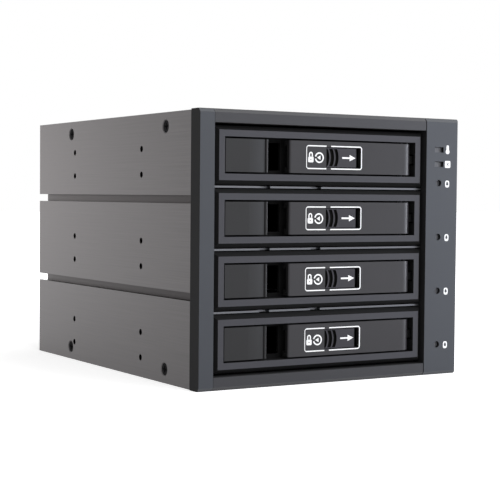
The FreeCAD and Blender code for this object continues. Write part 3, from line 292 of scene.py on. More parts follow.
def moulded_plastic(name, face, flank_shade, roughness, turn=FACE_TURN, depth_mm=1.5, tone=0.0, shine=0.3):
    """A plastic with two colours.

    It has the face colour and roughness where its normal's Y is under turn and it lies less than depth_mm
    behind the front. Elsewhere it has FLANK_ROUGHNESS and the flank colour, which is painted shade for
    sides and recesses. Both colours swing by the share tone, and shine is the specular level.
    """
    material, tree, place = start_material(name)
    normal = add_node(tree, "ShaderNodeSeparateXYZ", {}, [(0, place.outputs["Normal"])])
    point = add_node(tree, "ShaderNodeSeparateXYZ", {}, [(0, place.outputs["Object"])])
    forward = add_node(tree, "ShaderNodeMapRange",
                       {"From Min": turn, "From Max": turn + TURN_SOFTNESS, "To Min": 1.0, "To Max": 0.0},
                       [("Value", normal.outputs["Y"])])
    shallow = add_node(tree, "ShaderNodeMath", {"operation": "LESS_THAN", 1: cad_low.y + depth_mm * MM},
                       [(0, point.outputs["Y"])])
    mask = add_node(tree, "ShaderNodeMath", {"operation": "MULTIPLY"},
                    [(0, forward.outputs[0]), (1, shallow.outputs[0])])
    # The flank colour is painted shade: it goes where the mask is 0, on sides and deep surfaces.
    colour_and_painted_shade = add_node(tree, "ShaderNodeMix", {"data_type": "RGBA", 6: linear(flank_shade), 7: linear(face)},
                    [(0, mask.outputs[0])])
    slow = add_node(tree, "ShaderNodeTexNoise", {"Scale": 1 / (TONE_MM * MM), "Detail": 1.0},
                    [("Vector", place.outputs["Object"])])
    shift = add_node(tree, "ShaderNodeMapRange", {"To Min": 1 - tone, "To Max": 1 + tone},
                     [("Value", slow.outputs[0])])
    colour = add_node(tree, "ShaderNodeVectorMath", {"operation": "SCALE"},
                      [(0, colour_and_painted_shade.outputs[2]), ("Scale", shift.outputs[0])])
    grain = add_node(tree, "ShaderNodeTexNoise", {"Scale": 1 / (GRAIN_MM * MM), "Detail": 2.0},
                     [("Vector", place.outputs["Object"])])
    bump = add_node(tree, "ShaderNodeBump", {"Strength": GRAIN_STRENGTH, "Distance": GRAIN_HEIGHT_MM * MM},
                    [("Height", grain.outputs[0])])
    dull = add_node(tree, "ShaderNodeMapRange", {"To Min": FLANK_ROUGHNESS, "To Max": roughness},
                    [("Value", mask.outputs[0])])
    shader = add_node(tree, "ShaderNodeBsdfPrincipled", {"IOR": ABS_IOR, "Specular IOR Level": shine},
                      [("Base Color", colour.outputs[0]), ("Roughness", dull.outputs[0]),
                       ("Normal", bump.outputs[0])])
    add_node(tree, "ShaderNodeOutputMaterial", {}, [("Surface", shader.outputs[0])])
    return material


print("grain", GRAIN_MM, "mm wide, tone that changes over", TONE_MM, "mm")

# %% The moulded finishes
# The second colour of each finish is painted shade for its flanks and deep surfaces, where it differs from
# the first.
finishes = {
    "bezel_plastic": moulded_plastic("satin ABS front frame", "#34373d", "#070709", 0.42, CHAMFER_TURN,
                                     tone=0.08),
    "tray_plastic": moulded_plastic("satin ABS tray face", "#3a3a3f", "#030304", 0.42, tone=0.06, shine=0.2),
    "insert_plastic": moulded_plastic("satin ABS insert", "#151517", "#030304", 0.36, EDGE_TURN, depth_mm=4.6,
                                      tone=0.05, shine=0.25),
    "lever_plastic": moulded_plastic("satin ABS lever", "#2c2b2e", "#020203", 0.3, EDGE_TURN, depth_mm=4.8,
                                     tone=0.06, shine=0.25),
    "lock_plastic": moulded_plastic("satin ABS sliding lock", "#36353a", "#010101", 0.38, depth_mm=1.9,
                                    shine=0.15),
    "guide_plastic": moulded_plastic("black acetal guide", "#151517", "#151517", 0.35, shine=0.45),
    "socket_plastic": moulded_plastic("black glass-filled socket", "#111113", "#111113", 0.5, shine=0.5),
    "fan_plastic": moulded_plastic("black PBT fan", "#161618", "#161618", 0.4, shine=0.5),
}
# The rails get a darker copy of the front frame's plastic: painted shade, for fronts that get less light than
# the pillar's.
painted_shade_rail_finish = moulded_plastic("satin ABS front rail", "#2b2b2f", "#09090b", 0.42, CHAMFER_TURN, tone=0.08)
print("moulded finishes:", ", ".join(finishes))

# %% [markdown]
# ## Brushed sheet
#
# The shell is steel sheet with a hairline finish: a belt runs along it from front to rear and
# leaves fine straight scratches, and a dark tinted lacquer goes over it. A scratch is about
# 0.05 mm wide and a few centimetres long. Noise that is squeezed in two directions and stretched
# along the third gives such lines. They change the colour and the roughness a little. Scratches
# spread a highlight across their direction, so the shader is anisotropic, and its tangent, the
# direction in which a highlight is drawn out, lies across the lines. The lines are drawn about
# 0.5 mm wide, or they would vanish at this distance. The pressed grooves, the dishes round the
# screws and the inside get a darker colour, which is painted shade for these recesses: a mask finds
# them by their distance behind the plane of the side. It leaves out the top cover and the bottom
# plate, by their height, and the rear panel, because it faces backwards.

# %% Brushed sheet
HAIRLINE_MM = 0.5
HAIRLINE_LENGTH_MM = 60.0
HAIRLINE_SPREAD = 0.6
HAIRLINE_RANGE = (0.25, 0.75)
HAIRLINE_HEIGHT_MM, HAIRLINE_STRENGTH = 0.02, 0.2
ROUGHNESS_SWING = 0.06
SUNK_MM = 0.4
COVER_MARGIN_MM = 1.5
SIDEWAYS_TURN = 0.5
side_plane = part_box("side_wall_right")[1].x


def brushed_sheet(name, colour, sunk_shade, spread, roughness, along=(0, 1, 0), across=(0, 0, 1)):
    """Metal with scratches along one axis and a highlight drawn out along another.

    The scratches change the colour by the share spread, and what lies behind the side has the second
    colour, painted shade for grooves, dishes and the inside.
    """
    material, tree, place = start_material(name)
    point = add_node(tree, "ShaderNodeSeparateXYZ", {}, [(0, place.outputs["Object"])])
    sideways = add_node(tree, "ShaderNodeMath", {"operation": "ABSOLUTE"}, [(0, point.outputs["X"])])
    deep = add_node(tree, "ShaderNodeMath", {"operation": "LESS_THAN", 1: side_plane - SUNK_MM * MM},
                    [(0, sideways.outputs[0])])
    half_height = (cad_high.z - cad_low.z) / 2
    between = add_node(tree, "ShaderNodeMath",
                       {"operation": "COMPARE", 1: cad_low.z + half_height,
                        2: half_height - COVER_MARGIN_MM * MM}, [(0, point.outputs["Z"])])
    normal = add_node(tree, "ShaderNodeSeparateXYZ", {}, [(0, place.outputs["Normal"])])
    turned_sideways = add_node(tree, "ShaderNodeMath", {"operation": "COMPARE", 1: 0.0, 2: SIDEWAYS_TURN},
                               [(0, normal.outputs["Y"])])
    inside = add_node(tree, "ShaderNodeMath", {"operation": "MULTIPLY"},
                      [(0, deep.outputs[0]), (1, between.outputs[0])])
    painted_shade_mask = add_node(tree, "ShaderNodeMath", {"operation": "MULTIPLY"},
                         [(0, inside.outputs[0]), (1, turned_sideways.outputs[0])])
    # Behind the side's plane the second colour is painted shade for the grooves, dishes and inside.
    colour_and_painted_shade = add_node(tree, "ShaderNodeMix", {"data_type": "RGBA", 6: linear(colour), 7: linear(sunk_shade)},
                    [(0, painted_shade_mask.outputs[0])])
    scale = [1 / ((HAIRLINE_LENGTH_MM if part else HAIRLINE_MM) * MM) for part in along]
    stretched = add_node(tree, "ShaderNodeMapping", {"Scale": scale}, [("Vector", place.outputs["Object"])])
    lines = add_node(tree, "ShaderNodeTexNoise", {"Scale": 1.0, "Detail": 4.0, "Roughness": 0.65},
                     [("Vector", stretched.outputs[0])])
    shift = add_node(tree, "ShaderNodeMapRange",
                     {"From Min": HAIRLINE_RANGE[0], "From Max": HAIRLINE_RANGE[1], "To Min": 1 - spread,
                      "To Max": 1 + spread}, [("Value", lines.outputs[0])])
    tinted = add_node(tree, "ShaderNodeVectorMath", {"operation": "SCALE"},
                      [(0, colour_and_painted_shade.outputs[2]), ("Scale", shift.outputs[0])])
    rough = add_node(tree, "ShaderNodeMapRange",
                     {"To Min": roughness - ROUGHNESS_SWING, "To Max": roughness + ROUGHNESS_SWING},
                     [("Value", lines.outputs[0])])
    bump = add_node(tree, "ShaderNodeBump",
                    {"Strength": HAIRLINE_STRENGTH, "Distance": HAIRLINE_HEIGHT_MM * MM},
                    [("Height", lines.outputs[0])])
    tangent = add_node(tree, "ShaderNodeCombineXYZ", dict(enumerate(across)))
    shader = add_node(tree, "ShaderNodeBsdfPrincipled", {"Metallic": 1.0, "Anisotropic": HAIRLINE_SPREAD},
                      [("Base Color", tinted.outputs[0]), ("Roughness", rough.outputs[0]),
                       ("Normal", bump.outputs[0]), ("Tangent", tangent.outputs[0])])
    add_node(tree, "ShaderNodeOutputMaterial", {}, [("Surface", shader.outputs[0])])
    return material


print("hairlines", HAIRLINE_MM, "mm wide and", HAIRLINE_LENGTH_MM, "mm long")

# %% The sheet and pin finishes
# The shell's second colour is painted shade for its grooves, dishes and inside.
finishes["shell_steel"] = brushed_sheet("hairline steel under tinted lacquer", "#525051", "#2f2c2d",
                                        spread=0.18, roughness=0.42)
# The inner sheet's colour is darker than bright zinc plating: painted shade for the gaps between the trays,
# where its edges show.
finishes["inner_steel"] = brushed_sheet("zinc-plated steel sheet", "#5b5c60", "#5b5c60",
                                        spread=0.05, roughness=0.4)
# The pins' near-black colour is painted shade: they sit deep in the gaps beside the levers, where shade
# falls.
finishes["pin_steel"] = brushed_sheet("steel pin darkened as painted shade", "#1c1c1f", "#1c1c1f",
                                      spread=0.05, roughness=0.4, along=(0, 0, 1), across=(0, 1, 0))
print("with the sheet and the pins there are", len(finishes), "finishes")

# %% [markdown]
# ## The small finishes
#
# The screws are steel with black oxide, a thin dull layer that is grown in a hot salt bath. The
# light pipes are clear acrylic with an IOR of 1.49, but with no lamp lit behind them they look
# as grey as the dark space that they end in, so a grey satin surface is enough. The circuit
# boards are glass cloth under a green solder mask, glossy and slightly uneven where copper lies
# under it. The power inlets are natural nylon with tinned pins, the contacts are gold-plated, and
# the printed signs are white pad-print ink. The grain of plating, ink and oxide is much finer than
# half a millimetre, and is drawn that coarse so that it shows.

# %% A nearly even surface
FINE_MM, OXIDE_MM, CLOTH_MM, MOTTLE_MM = 0.4, 0.5, 1.2, 2.0
MOTTLE_HEIGHT_MM, MOTTLE_STRENGTH = 0.01, 0.2


def plain_finish(name, dark, light, grain_mm, roughness, metallic=0.0, ior=1.5, coat=0.0, shine=0.5):
    """A nearly even surface: noise of one grain size mixes two close colours and raises it a little."""
    material, tree, place = start_material(name)
    noise = add_node(tree, "ShaderNodeTexNoise", {"Scale": 1 / (grain_mm * MM), "Detail": 2.0},
                     [("Vector", place.outputs["Object"])])
    colour = add_node(tree, "ShaderNodeMix", {"data_type": "RGBA", 6: linear(dark), 7: linear(light)},
                      [(0, noise.outputs[0])])
    bump = add_node(tree, "ShaderNodeBump", {"Strength": MOTTLE_STRENGTH, "Distance": MOTTLE_HEIGHT_MM * MM},
                    [("Height", noise.outputs[0])])
    shader = add_node(tree, "ShaderNodeBsdfPrincipled",
                      {"Roughness": roughness, "Metallic": metallic, "IOR": ior, "Coat Weight": coat,
                       "Specular IOR Level": shine},
                      [("Base Color", colour.outputs[2]), ("Normal", bump.outputs[0])])
    add_node(tree, "ShaderNodeOutputMaterial", {}, [("Surface", shader.outputs[0])])
    return material


print("grain from", FINE_MM, "to", MOTTLE_MM, "mm wide")

# %% The small finishes
finishes["black_screw"] = plain_finish("black oxide steel", "#060607", "#101012", OXIDE_MM, 0.8, shine=0.12)
finishes["light_pipe"] = plain_finish("unlit acrylic light pipe", "#505156", "#606166", MOTTLE_MM, 0.3,
                                      ior=1.49)
finishes["lamp_body"] = plain_finish("epoxy lamp body", "#dcdcd6", "#e8e8e2", MOTTLE_MM, 0.25)
finishes["circuit_board"] = plain_finish("green solder mask", "#0d3a22", "#145031", CLOTH_MM, 0.25, coat=0.4)
finishes["inlet_plastic"] = plain_finish("natural nylon", "#cfcabd", "#dad6ca", MOTTLE_MM, 0.45, ior=1.53)
ink = plain_finish("white pad-print ink", "#f1f1f1", "#fbfbfb", FINE_MM, 0.55, ior=1.48)
tinned = plain_finish("tinned brass", "#b9babd", "#c8c9cc", FINE_MM, 0.3, metallic=1.0)
gold = plain_finish("gold-plated phosphor bronze", "#cf9f4a", "#dcb060", FINE_MM, 0.25, metallic=1.0)
print("with the small ones there are", len(finishes), "finishes, and", ink.name, "for the signs")

# %% Give each solid its finish
for subpart in frame["record"]["subparts"]:
    solid = frame["nodes"][subpart["node"]]
    solid.data.materials.clear()
    solid.data.materials.append(finishes[subpart["material_slot"]])
for rail in ("top_rail", "bottom_rail"):
    frame["nodes"][rail].data.materials[0] = painted_shade_rail_finish

# %% [markdown]
# ## Surfaces from arrays
#
# Each new piece is a grid of points, worked out with numpy as one array: rows run one way over the
# surface and columns the other, and the last column joins the first. The faces join neighbouring
# points, so they depend on the size of the grid alone. Where a row shrinks to one point, as at the
# middle of a disc, its points are merged, which closes the surface there. A grid whose last row is
# its first row again closes on itself. Any other grid gets a face over each end. Last, all faces
# are turned to look outwards.

# %% Helpers for surfaces
MERGE_MM = 0.001


def grid_faces(rows, columns):
    """The corners of a grid's faces: each joins two neighbours in a row to the same two in the next."""
    row = np.arange(rows - 1)[:, None]
    column = np.arange(columns)[None, :]
    next_column = (column + 1) % columns
    corners = (row * columns + column, row * columns + next_column,
               (row + 1) * columns + next_column, (row + 1) * columns + column)
    return np.stack(corners, axis=-1).reshape(-1, 4)


def make_piece(name, grids, material, body):
    """One object at the origin from grids of points, each (rows, columns, 3) in metres, with flat faces."""
    points, faces, first = [], [], 0
    for grid in grids:
        rows, columns = grid.shape[:2]
        faces += (grid_faces(rows, columns) + first).tolist()
        if not np.allclose(grid[0], grid[-1]):
            last = first + (rows - 1) * columns
            faces += [list(range(first, first + columns)), list(range(last, last + columns))]
        points.append(grid.reshape(-1, 3))
        first += rows * columns
    mesh = bpy.data.meshes.new(name)
    mesh.from_pydata(np.concatenate(points).tolist(), [], faces)
    work = bmesh.new()
    work.from_mesh(mesh)
    bmesh.ops.remove_doubles(work, verts=work.verts, dist=MERGE_MM * MM)
    bmesh.ops.recalc_face_normals(work, faces=work.faces)
    work.to_mesh(mesh)
    work.free()
    mesh.polygons.foreach_set("use_smooth", [False] * len(mesh.polygons))
    mesh.materials.append(material)
    piece = bpy.data.objects.new(name, mesh)
    bpy.context.collection.objects.link(piece)
    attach(piece, body)
    return piece


print("a grid of 3 by 4 points has", len(grid_faces(3, 4)), "faces")

# %% [markdown]
# ## Where the grooves run out
#
# Slots from the rear edge let the sides slide over the rails of a case, and a short tongue of the
# pressed groove reaches back into each slot. A tongue is the groove's own cross-section, a U of
# eight corners, carried straight backwards from the rear panel. The right side's is the left's
# with its distance from the middle turned over.

# %% Groove ends
GROOVE_LEVELS_MM = (42.4, 86.9)
GROOVE_WIDTH_MM, GROOVE_DEPTH_MM, SHEET_MM = 3.8, 3.0, 1.2
TONGUE_MM = 7.0


def tongue(level, side):
    """Eight corners of a U, twice: at the rear panel's back and TONGUE_MM behind it."""
    half, wide = GROOVE_WIDTH_MM / 2, GROOVE_WIDTH_MM / 2 + SHEET_MM
    floor_depth = GROOVE_DEPTH_MM + SHEET_MM
    inward = np.array([SHEET_MM, floor_depth, floor_depth, SHEET_MM,
                       SHEET_MM, GROOVE_DEPTH_MM, GROOVE_DEPTH_MM, SHEET_MM]) * MM
    height = (level + np.array([-wide, -wide, wide, wide, half, half, -half, -half])) * MM
    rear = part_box("rear_panel")[1].y
    rows = [np.stack([side * (side_plane - inward), np.full(height.shape, y), height], axis=-1)
            for y in (rear, rear + TONGUE_MM * MM)]
    return np.stack(rows)


make_piece("groove_ends", [tongue(level, side) for level in GROOVE_LEVELS_MM for side in (-1, 1)],
           finishes["shell_steel"], "cage")
print("tongues reach", TONGUE_MM, "mm into the slots")

# %% [markdown]
# ## Screws with a cross recess
#
# Eight countersunk screws hold the two side walls. A screw is a turned part, so its surface is a
# profile carried round an axis: out across the flat head, down the cone and along the shank. The
# recess is pressed into the head by a cross-shaped punch with sloping walls. So the head's rows
# aren't flat: each point is pushed in by a depth that is greatest in the middle and fades out
# beside the two bars of the cross. The walls of a real recess slope in the same way.

# %% The shape of a screw
SCREW_HEAD_MM, SCREW_SHANK_MM, SCREW_LENGTH_MM = 2.9, 1.45, 3.5
CROSS_REACH_MM, CROSS_HALF_WIDTH_MM, CROSS_DEPTH_MM = 1.7, 0.42, 1.1


def screw_grid(turns=72, head_rows=20):
    """Rows are radii over the head and then the profile's corners; columns are angles round the axis.

    Depth in the head = most depth x the square root of (1 - radius / reach), wherever the nearer bar's middle
    is less than half its width away, with a wall that rises to the head over a quarter of that.
    """
    angle = np.linspace(0, 2 * np.pi, turns, endpoint=False)[None, :]
    radius = np.linspace(0, SCREW_HEAD_MM, head_rows)[:, None]
    side, rise = radius * np.cos(angle), radius * np.sin(angle)
    nearest_bar = np.minimum(np.abs(side), np.abs(rise))
    wall = np.clip((CROSS_HALF_WIDTH_MM - nearest_bar) / (CROSS_HALF_WIDTH_MM / 4) + 0.5, 0, 1)
    depth = CROSS_DEPTH_MM * np.clip(1 - radius / CROSS_REACH_MM, 0, 1) ** 0.5 * wall
    head = np.stack([depth, side, rise], axis=-1)
    cone = SCREW_HEAD_MM - SCREW_SHANK_MM
    profile = np.array([(cone, SCREW_SHANK_MM), (SCREW_LENGTH_MM, SCREW_SHANK_MM), (SCREW_LENGTH_MM, 0)])
    body = np.stack([profile[:, :1] + 0 * angle, profile[:, 1:] * np.cos(angle),
                     profile[:, 1:] * np.sin(angle)], axis=-1)
    return np.concatenate([head, body]) * MM


screw = screw_grid()
print("a screw has", screw.shape[0] * screw.shape[1], "points")

# %% Place the eight screws
SCREW_COLUMNS_MM = (35.0, 144.0)

screw_box_low, screw_box_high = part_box("cover_screws")
screw_levels = (screw_box_low.z + SCREW_HEAD_MM * MM, screw_box_high.z - SCREW_HEAD_MM * MM)
for side, word in ((-1, "left"), (1, "right")):
    head_at = screw_box_low.x if side < 0 else screw_box_high.x
    spots = [(head_at, cad_low.y + column * MM, height) for column in SCREW_COLUMNS_MM
             for height in screw_levels]
    for count, spot in enumerate(spots, start=1):
        turned_screw = screw * np.array((-side, 1, 1)) + np.array(spot)
        screw_piece = make_piece(f"cover_screw_{word}_{count}", [turned_screw], finishes["black_screw"],
                                 "cage")
        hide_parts("cover_screws")
    print(len(spots), "screws on the", word)

# %% [markdown]
# ## Printed signs
#
# White signs are pad-printed on the levers, the locks and the lamp panel: a soft pad carries the
# ink over and leaves a layer thinner than a hair. Here each sign is a thin closed plate of ink,
# which stays crisp however close one looks. Three kinds are enough.
# A stroke is a flat profile carried along a path, a plate is an outline filled from its middle,
# and a band is the ring between two outlines. An outline is a distance from the middle for each
# angle, so circles, rounded boxes and drops are one formula each.

# %% Outlines
ANGLES = np.linspace(0, 2 * np.pi, 64, endpoint=False)


def circle(radius):
    """The same distance for each angle."""
    return np.full(ANGLES.shape, radius)


def rounded_box(half_width, half_height, squareness):
    """Distance = (|cos / half width|^n + |sin / half height|^n)^(-1/n): an ellipse at 2, a box as n grows."""
    across = np.abs(np.cos(ANGLES) / half_width) ** squareness
    along = np.abs(np.sin(ANGLES) / half_height) ** squareness
    return (across + along) ** (-1 / squareness)


def triangle(radius):
    """Distance to a side = radius x cos(60 degrees) / cos(angle from its middle). One tip points left."""
    third = 2 * np.pi / 3
    from_middle = (ANGLES + third / 2) % third - third / 2
    return radius * np.cos(third / 2) / np.cos(from_middle)


print("an outline has", len(ANGLES), "points")

# %% Plates, bands and strokes of ink
INK_MM = 0.03


def lift_rows(rows, depths, base):
    """Rows of (x, z) and the depth of each, in millimetres, become points in metres about the base."""
    flat = np.stack(rows)
    depth = np.array(depths, float)[:, None] + 0 * flat[..., 0]
    return np.stack([flat[..., 0], depth, flat[..., 1]], axis=-1) * MM + np.array(base)


def outline_points(distance, centre):
    """The (x, z) of an outline = its centre + distance x (cos, sin) of each angle."""
    return np.stack([centre[0] + distance * np.cos(ANGLES), centre[1] + distance * np.sin(ANGLES)], axis=-1)


def plate(distance, centre, base):
    """A filled outline: rows are the middle and the edge in front, then the edge and the middle behind."""
    edge = outline_points(distance, centre)
    middle = np.broadcast_to(np.array(centre, float), edge.shape)
    return lift_rows([middle, edge, edge, middle], [-INK_MM, -INK_MM, 0, 0], base)


def band(inner, outer, centre, base):
    """The ring between two outlines: rows go once round its rectangular section and end where they began."""
    inside, outside = outline_points(inner, centre), outline_points(outer, centre)
    return lift_rows([inside, outside, outside, inside, inside], [-INK_MM, -INK_MM, 0, 0, -INK_MM], base)


def stroke(path, widths, base):
    """A line of ink: each point of the path gives a rectangle across the direction of travel."""
    travel = np.gradient(path, axis=0)
    travel /= np.linalg.norm(travel, axis=1, keepdims=True)
    across = np.stack([-travel[:, 1], travel[:, 0]], axis=-1) * np.reshape(widths, (-1, 1)) / 2
    left, right = path + across, path - across
    flat = np.stack([left, right, right, left], axis=1)
    depth = np.broadcast_to(np.array([-INK_MM, -INK_MM, 0.0, 0.0]), flat.shape[:2])
    return np.stack([flat[..., 0], depth, flat[..., 1]], axis=-1) * MM + np.array(base)


def arc(centre, radius, start, end, steps=10):
    """Points on a circle from one angle to another, in degrees."""
    angle = np.radians(np.linspace(start, end, steps))
    return np.stack([centre[0] + radius * np.cos(angle), centre[1] + radius * np.sin(angle)], axis=-1)


print("a plate of ink is", INK_MM, "mm thick")

# %% [markdown]
# ## The signs on a lever
#
# Round the lock's window runs a thin white frame with round corners, broken above and below the
# grip ribs. Left of the window a closed padlock and a ring with a pointer say which way the lock
# is closed, and an arrow on the lock itself says which way to push it. The arrow belongs to the
# lock, so it rides on the lock's body and slides with it, while the rest rides on the lever.
# All places are in millimetres from the lever's left end and its middle height.

# %% The signs of one lever and its lock
FRAME_LEFT, FRAME_RIGHT, FRAME_HALF_HEIGHT = 9.4, 41.1, 5.35
FRAME_LINE, FRAME_THIN_LINE, FRAME_CORNER = 0.55, 0.35, 1.1
FRAME_GAP = (20.6, 23.3)
PADLOCK_X, PADLOCK_LEVEL, POINTER_X, POINTER_LEVEL = 11.8, -1.1, 16.6, -0.15
PADLOCK_HALF, PADLOCK_SQUARENESS, KEYHOLE_RADIUS = (1.5, 1.35), 6.0, 0.3
SHACKLE_RADIUS, SHACKLE_LINE, SHACKLE_LEVEL = 0.78, 0.62, 1.4
RING_RADIUS, RING_LINE, RING_OPENING_DEGREES, POINTER_RADIUS = 2.2, 0.7, 13, 1.25
ARROW_START, ARROW_NECK, ARROW_TIP = 29.9, 34.2, 37.6
ARROW_LINE, ARROW_HALF_WIDTH, ARROW_POINT = 0.8, 1.5, 0.02


def frame_strokes(base):
    """Two open halves: each is a straight line, two quarter circles and a straight line back."""
    top, corner = FRAME_HALF_HEIGHT, FRAME_CORNER
    left, right, level = FRAME_LEFT + corner, FRAME_RIGHT - corner, top - corner
    first = np.concatenate([[(FRAME_GAP[0], top)], arc((left, level), corner, 90, 180),
                            arc((left, -level), corner, 180, 270), [(FRAME_GAP[0], -top)]])
    second = np.concatenate([[(FRAME_GAP[1], -top)], arc((right, -level), corner, 270, 360),
                             arc((right, level), corner, 0, 90), [(FRAME_GAP[1], top)]])
    upright = np.abs(first[:, 0] - FRAME_LEFT) < corner / 2
    return [stroke(first, np.where(upright, FRAME_THIN_LINE, FRAME_LINE), base),
            stroke(second, FRAME_LINE, base)]


def padlock(base):
    """A body with a keyhole, and a shackle: a half circle on two short legs."""
    body = band(circle(KEYHOLE_RADIUS), rounded_box(*PADLOCK_HALF, PADLOCK_SQUARENESS),
                (PADLOCK_X, PADLOCK_LEVEL), base)
    legs = np.concatenate([[(PADLOCK_X + SHACKLE_RADIUS, 0.0)],
                           arc((PADLOCK_X, SHACKLE_LEVEL), SHACKLE_RADIUS, 0, 180, steps=14),
                           [(PADLOCK_X - SHACKLE_RADIUS, 0.0)]])
    return [body, stroke(legs, SHACKLE_LINE, base)]


def pointer(base):
    """A ring that is open at its left, and a triangle whose tip looks at the opening."""
    centre = (POINTER_X, POINTER_LEVEL)
    ring = arc(centre, RING_RADIUS, 180 - RING_OPENING_DEGREES, RING_OPENING_DEGREES - 180, steps=40)
    return [stroke(ring, RING_LINE, base), plate(triangle(POINTER_RADIUS), centre, base)]


def arrow(base):
    """A straight shaft, and a head whose half width shrinks evenly from its neck to its tip."""
    path = np.array([(ARROW_START, 0.0), (ARROW_NECK, 0.0)])
    head = np.array([(ARROW_NECK, 0.0), (ARROW_TIP, 0.0)])
    return [stroke(path, ARROW_LINE, base), stroke(head, np.array([2 * ARROW_HALF_WIDTH, ARROW_POINT]), base)]


print("the frame round the window is", round(FRAME_RIGHT - FRAME_LEFT, 1), "mm wide")

# %% Print every lever and lock
LOCK_SINK_MM = 0.2

tray_bodies = [body for body in frame["bodies"] if body.startswith("tray_")]
tray_numbers = sorted(int(body.split("_")[1]) for body in tray_bodies)
for number in tray_numbers:
    lever_low, lever_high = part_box(f"tray_{number}_lever")
    base = (lever_low.x, lever_low.y, (lever_low.z + lever_high.z) / 2)
    signs = frame_strokes(base) + padlock(base) + pointer(base)
    make_piece(f"lever_print_{number}", signs, ink, f"lever_{number}")
    lock_base = (base[0], base[1] + LOCK_SINK_MM * MM, base[2])
    make_piece(f"arrow_print_{number}", arrow(lock_base), ink, f"lock_{number}")
print("signs on", len(tray_numbers), "levers")

# %% [markdown]
# ## The signs on the lamp panel
#
# Beside each lamp a sign says what it reports: a thermometer and a fan at the top, and a disk for
# each drive. The thermometer is one outline: for each angle, the distance is the larger of its
# bulb's and its stem's. The disk is a rounded box with a drop-shaped hole, the arm of a drive,
# and the fan is a rounded square with four short blades left out of it. Levels are in millimetres
# above the bottom of the cage.

# %% Outlines of the panel's signs
ROUND_TOP = 6
TINY = 1e-6


def thermometer_outline(bulb, stem, length):
    """The larger of a circle and of a box that stands on its middle, with a round top.

    Distance in the box = ((stem / |cos|)^-n + (length / sin)^-n)^(-1/n), for the angles that point upwards.
    """
    upward = np.clip(np.sin(ANGLES), TINY, 1)
    sideways = np.clip(np.abs(np.cos(ANGLES)), TINY, 1)
    column = ((stem / sideways) ** -ROUND_TOP + (length / upward) ** -ROUND_TOP) ** (-1 / ROUND_TOP)
    return np.maximum(circle(bulb), np.where(np.sin(ANGLES) > 0, column, 0))


def drop_outline(radius, tip):
    """A circle that is drawn out to a tip: distance = radius + (tip - radius) x sin^n, at the top only."""
    return radius + (tip - radius) * np.clip(np.sin(ANGLES), 0, 1) ** ROUND_TOP


def blades_outline(root, tip, count):
    """A rounded star: distance = root + (tip - root) x (1 + cos(count x angle)) / 2, turned by 45 degrees."""
    return root + (tip - root) * (1 + np.cos(count * (ANGLES - np.pi / 4))) / 2


print("a drop of radius 1 with its tip at 2 reaches", round(drop_outline(1, 2).max(), 2), "upwards")

# %% Print the lamp panel
SIGN_X, THERMOMETER_LEVEL = 67.25, 111.6
THERMOMETER_BULB, THERMOMETER_STEM, THERMOMETER_HEIGHT = 1.2, 0.8, 3.2
FAN_SIGN_X, FAN_SIGN_LEVEL, FAN_SIGN_HALF, FAN_SIGN_SQUARENESS = 67.35, 105.3, 1.75, 7.0
BLADE_ROOT, BLADE_TIP, BLADE_COUNT = 0.25, 0.85, 4
DISK_LEVELS = (14.75, 41.75, 68.65, 95.5)
DISK_HALF, DISK_SQUARENESS, DROP_RADIUS, DROP_TIP = (1.3, 1.75), 3.2, 0.72, 1.15

panel_base = (0.0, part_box("lamp_panel")[0].y, 0.0)
signs = [plate(thermometer_outline(THERMOMETER_BULB, THERMOMETER_STEM, THERMOMETER_HEIGHT),
               (SIGN_X, THERMOMETER_LEVEL), panel_base),
         band(blades_outline(BLADE_ROOT, BLADE_TIP, BLADE_COUNT),
              rounded_box(FAN_SIGN_HALF, FAN_SIGN_HALF, FAN_SIGN_SQUARENESS),
              (FAN_SIGN_X, FAN_SIGN_LEVEL), panel_base)]
disk_hole, disk_edge = drop_outline(DROP_RADIUS, DROP_TIP), rounded_box(*DISK_HALF, DISK_SQUARENESS)
signs += [band(disk_hole, disk_edge, (SIGN_X, level), panel_base) for level in DISK_LEVELS]
make_piece("lamp_panel_print", signs, ink, "cage")
print(len(signs), "signs on the lamp panel")

# %% [markdown]
# ## Spring contacts
#
# Each drive plugs into a socket at the back of its bay, with seven contacts for data and fifteen
# for power. A contact is stamped from phosphor bronze, bent in a bow so that it presses on the
# drive's pad, and gold-plated. One contact is a flat profile carried along a bowed path, and
# its copies are the same points moved along by the pitch, worked out in one step.

# %% One contact and a row of places
CONTACT_PITCH_MM = 1.27
CONTACT_WIDTH_MM, CONTACT_THICK_MM, CONTACT_BOW_MM = 0.6, 0.15, 0.3


def bowed_contact(start, end, foot, steps=9):
    """A strip along Y from start to end. Its height above its foot is a half wave: bow x sin(pi x way)."""
    way = np.linspace(0, 1, steps)[:, None]
    height = foot + CONTACT_BOW_MM * MM * np.sin(np.pi * way)
    side = np.array([-1, 1, 1, -1]) * CONTACT_WIDTH_MM * MM / 2
    thick = np.array([0, 0, 1, 1]) * CONTACT_THICK_MM * MM
    along = start + (end - start) * way + 0 * side
    return np.stack([side + 0 * way, along, height + thick], axis=-1)


def contact_row(centre, count):
    """The places of a row of contacts: centre + pitch x (number - half of the last number)."""
    return centre + (np.arange(count) - (count - 1) / 2) * CONTACT_PITCH_MM * MM


print("contacts", CONTACT_WIDTH_MM, "mm wide, one every", CONTACT_PITCH_MM, "mm")

# %% Contacts in the drive sockets
DATA_CONTACTS, POWER_CONTACTS, BLOCK_GAP_MM = 7, 15, 4.0
CONTACT_REACH_MM, CONTACT_DROP_MM = (0.4, 4.1), 0.85

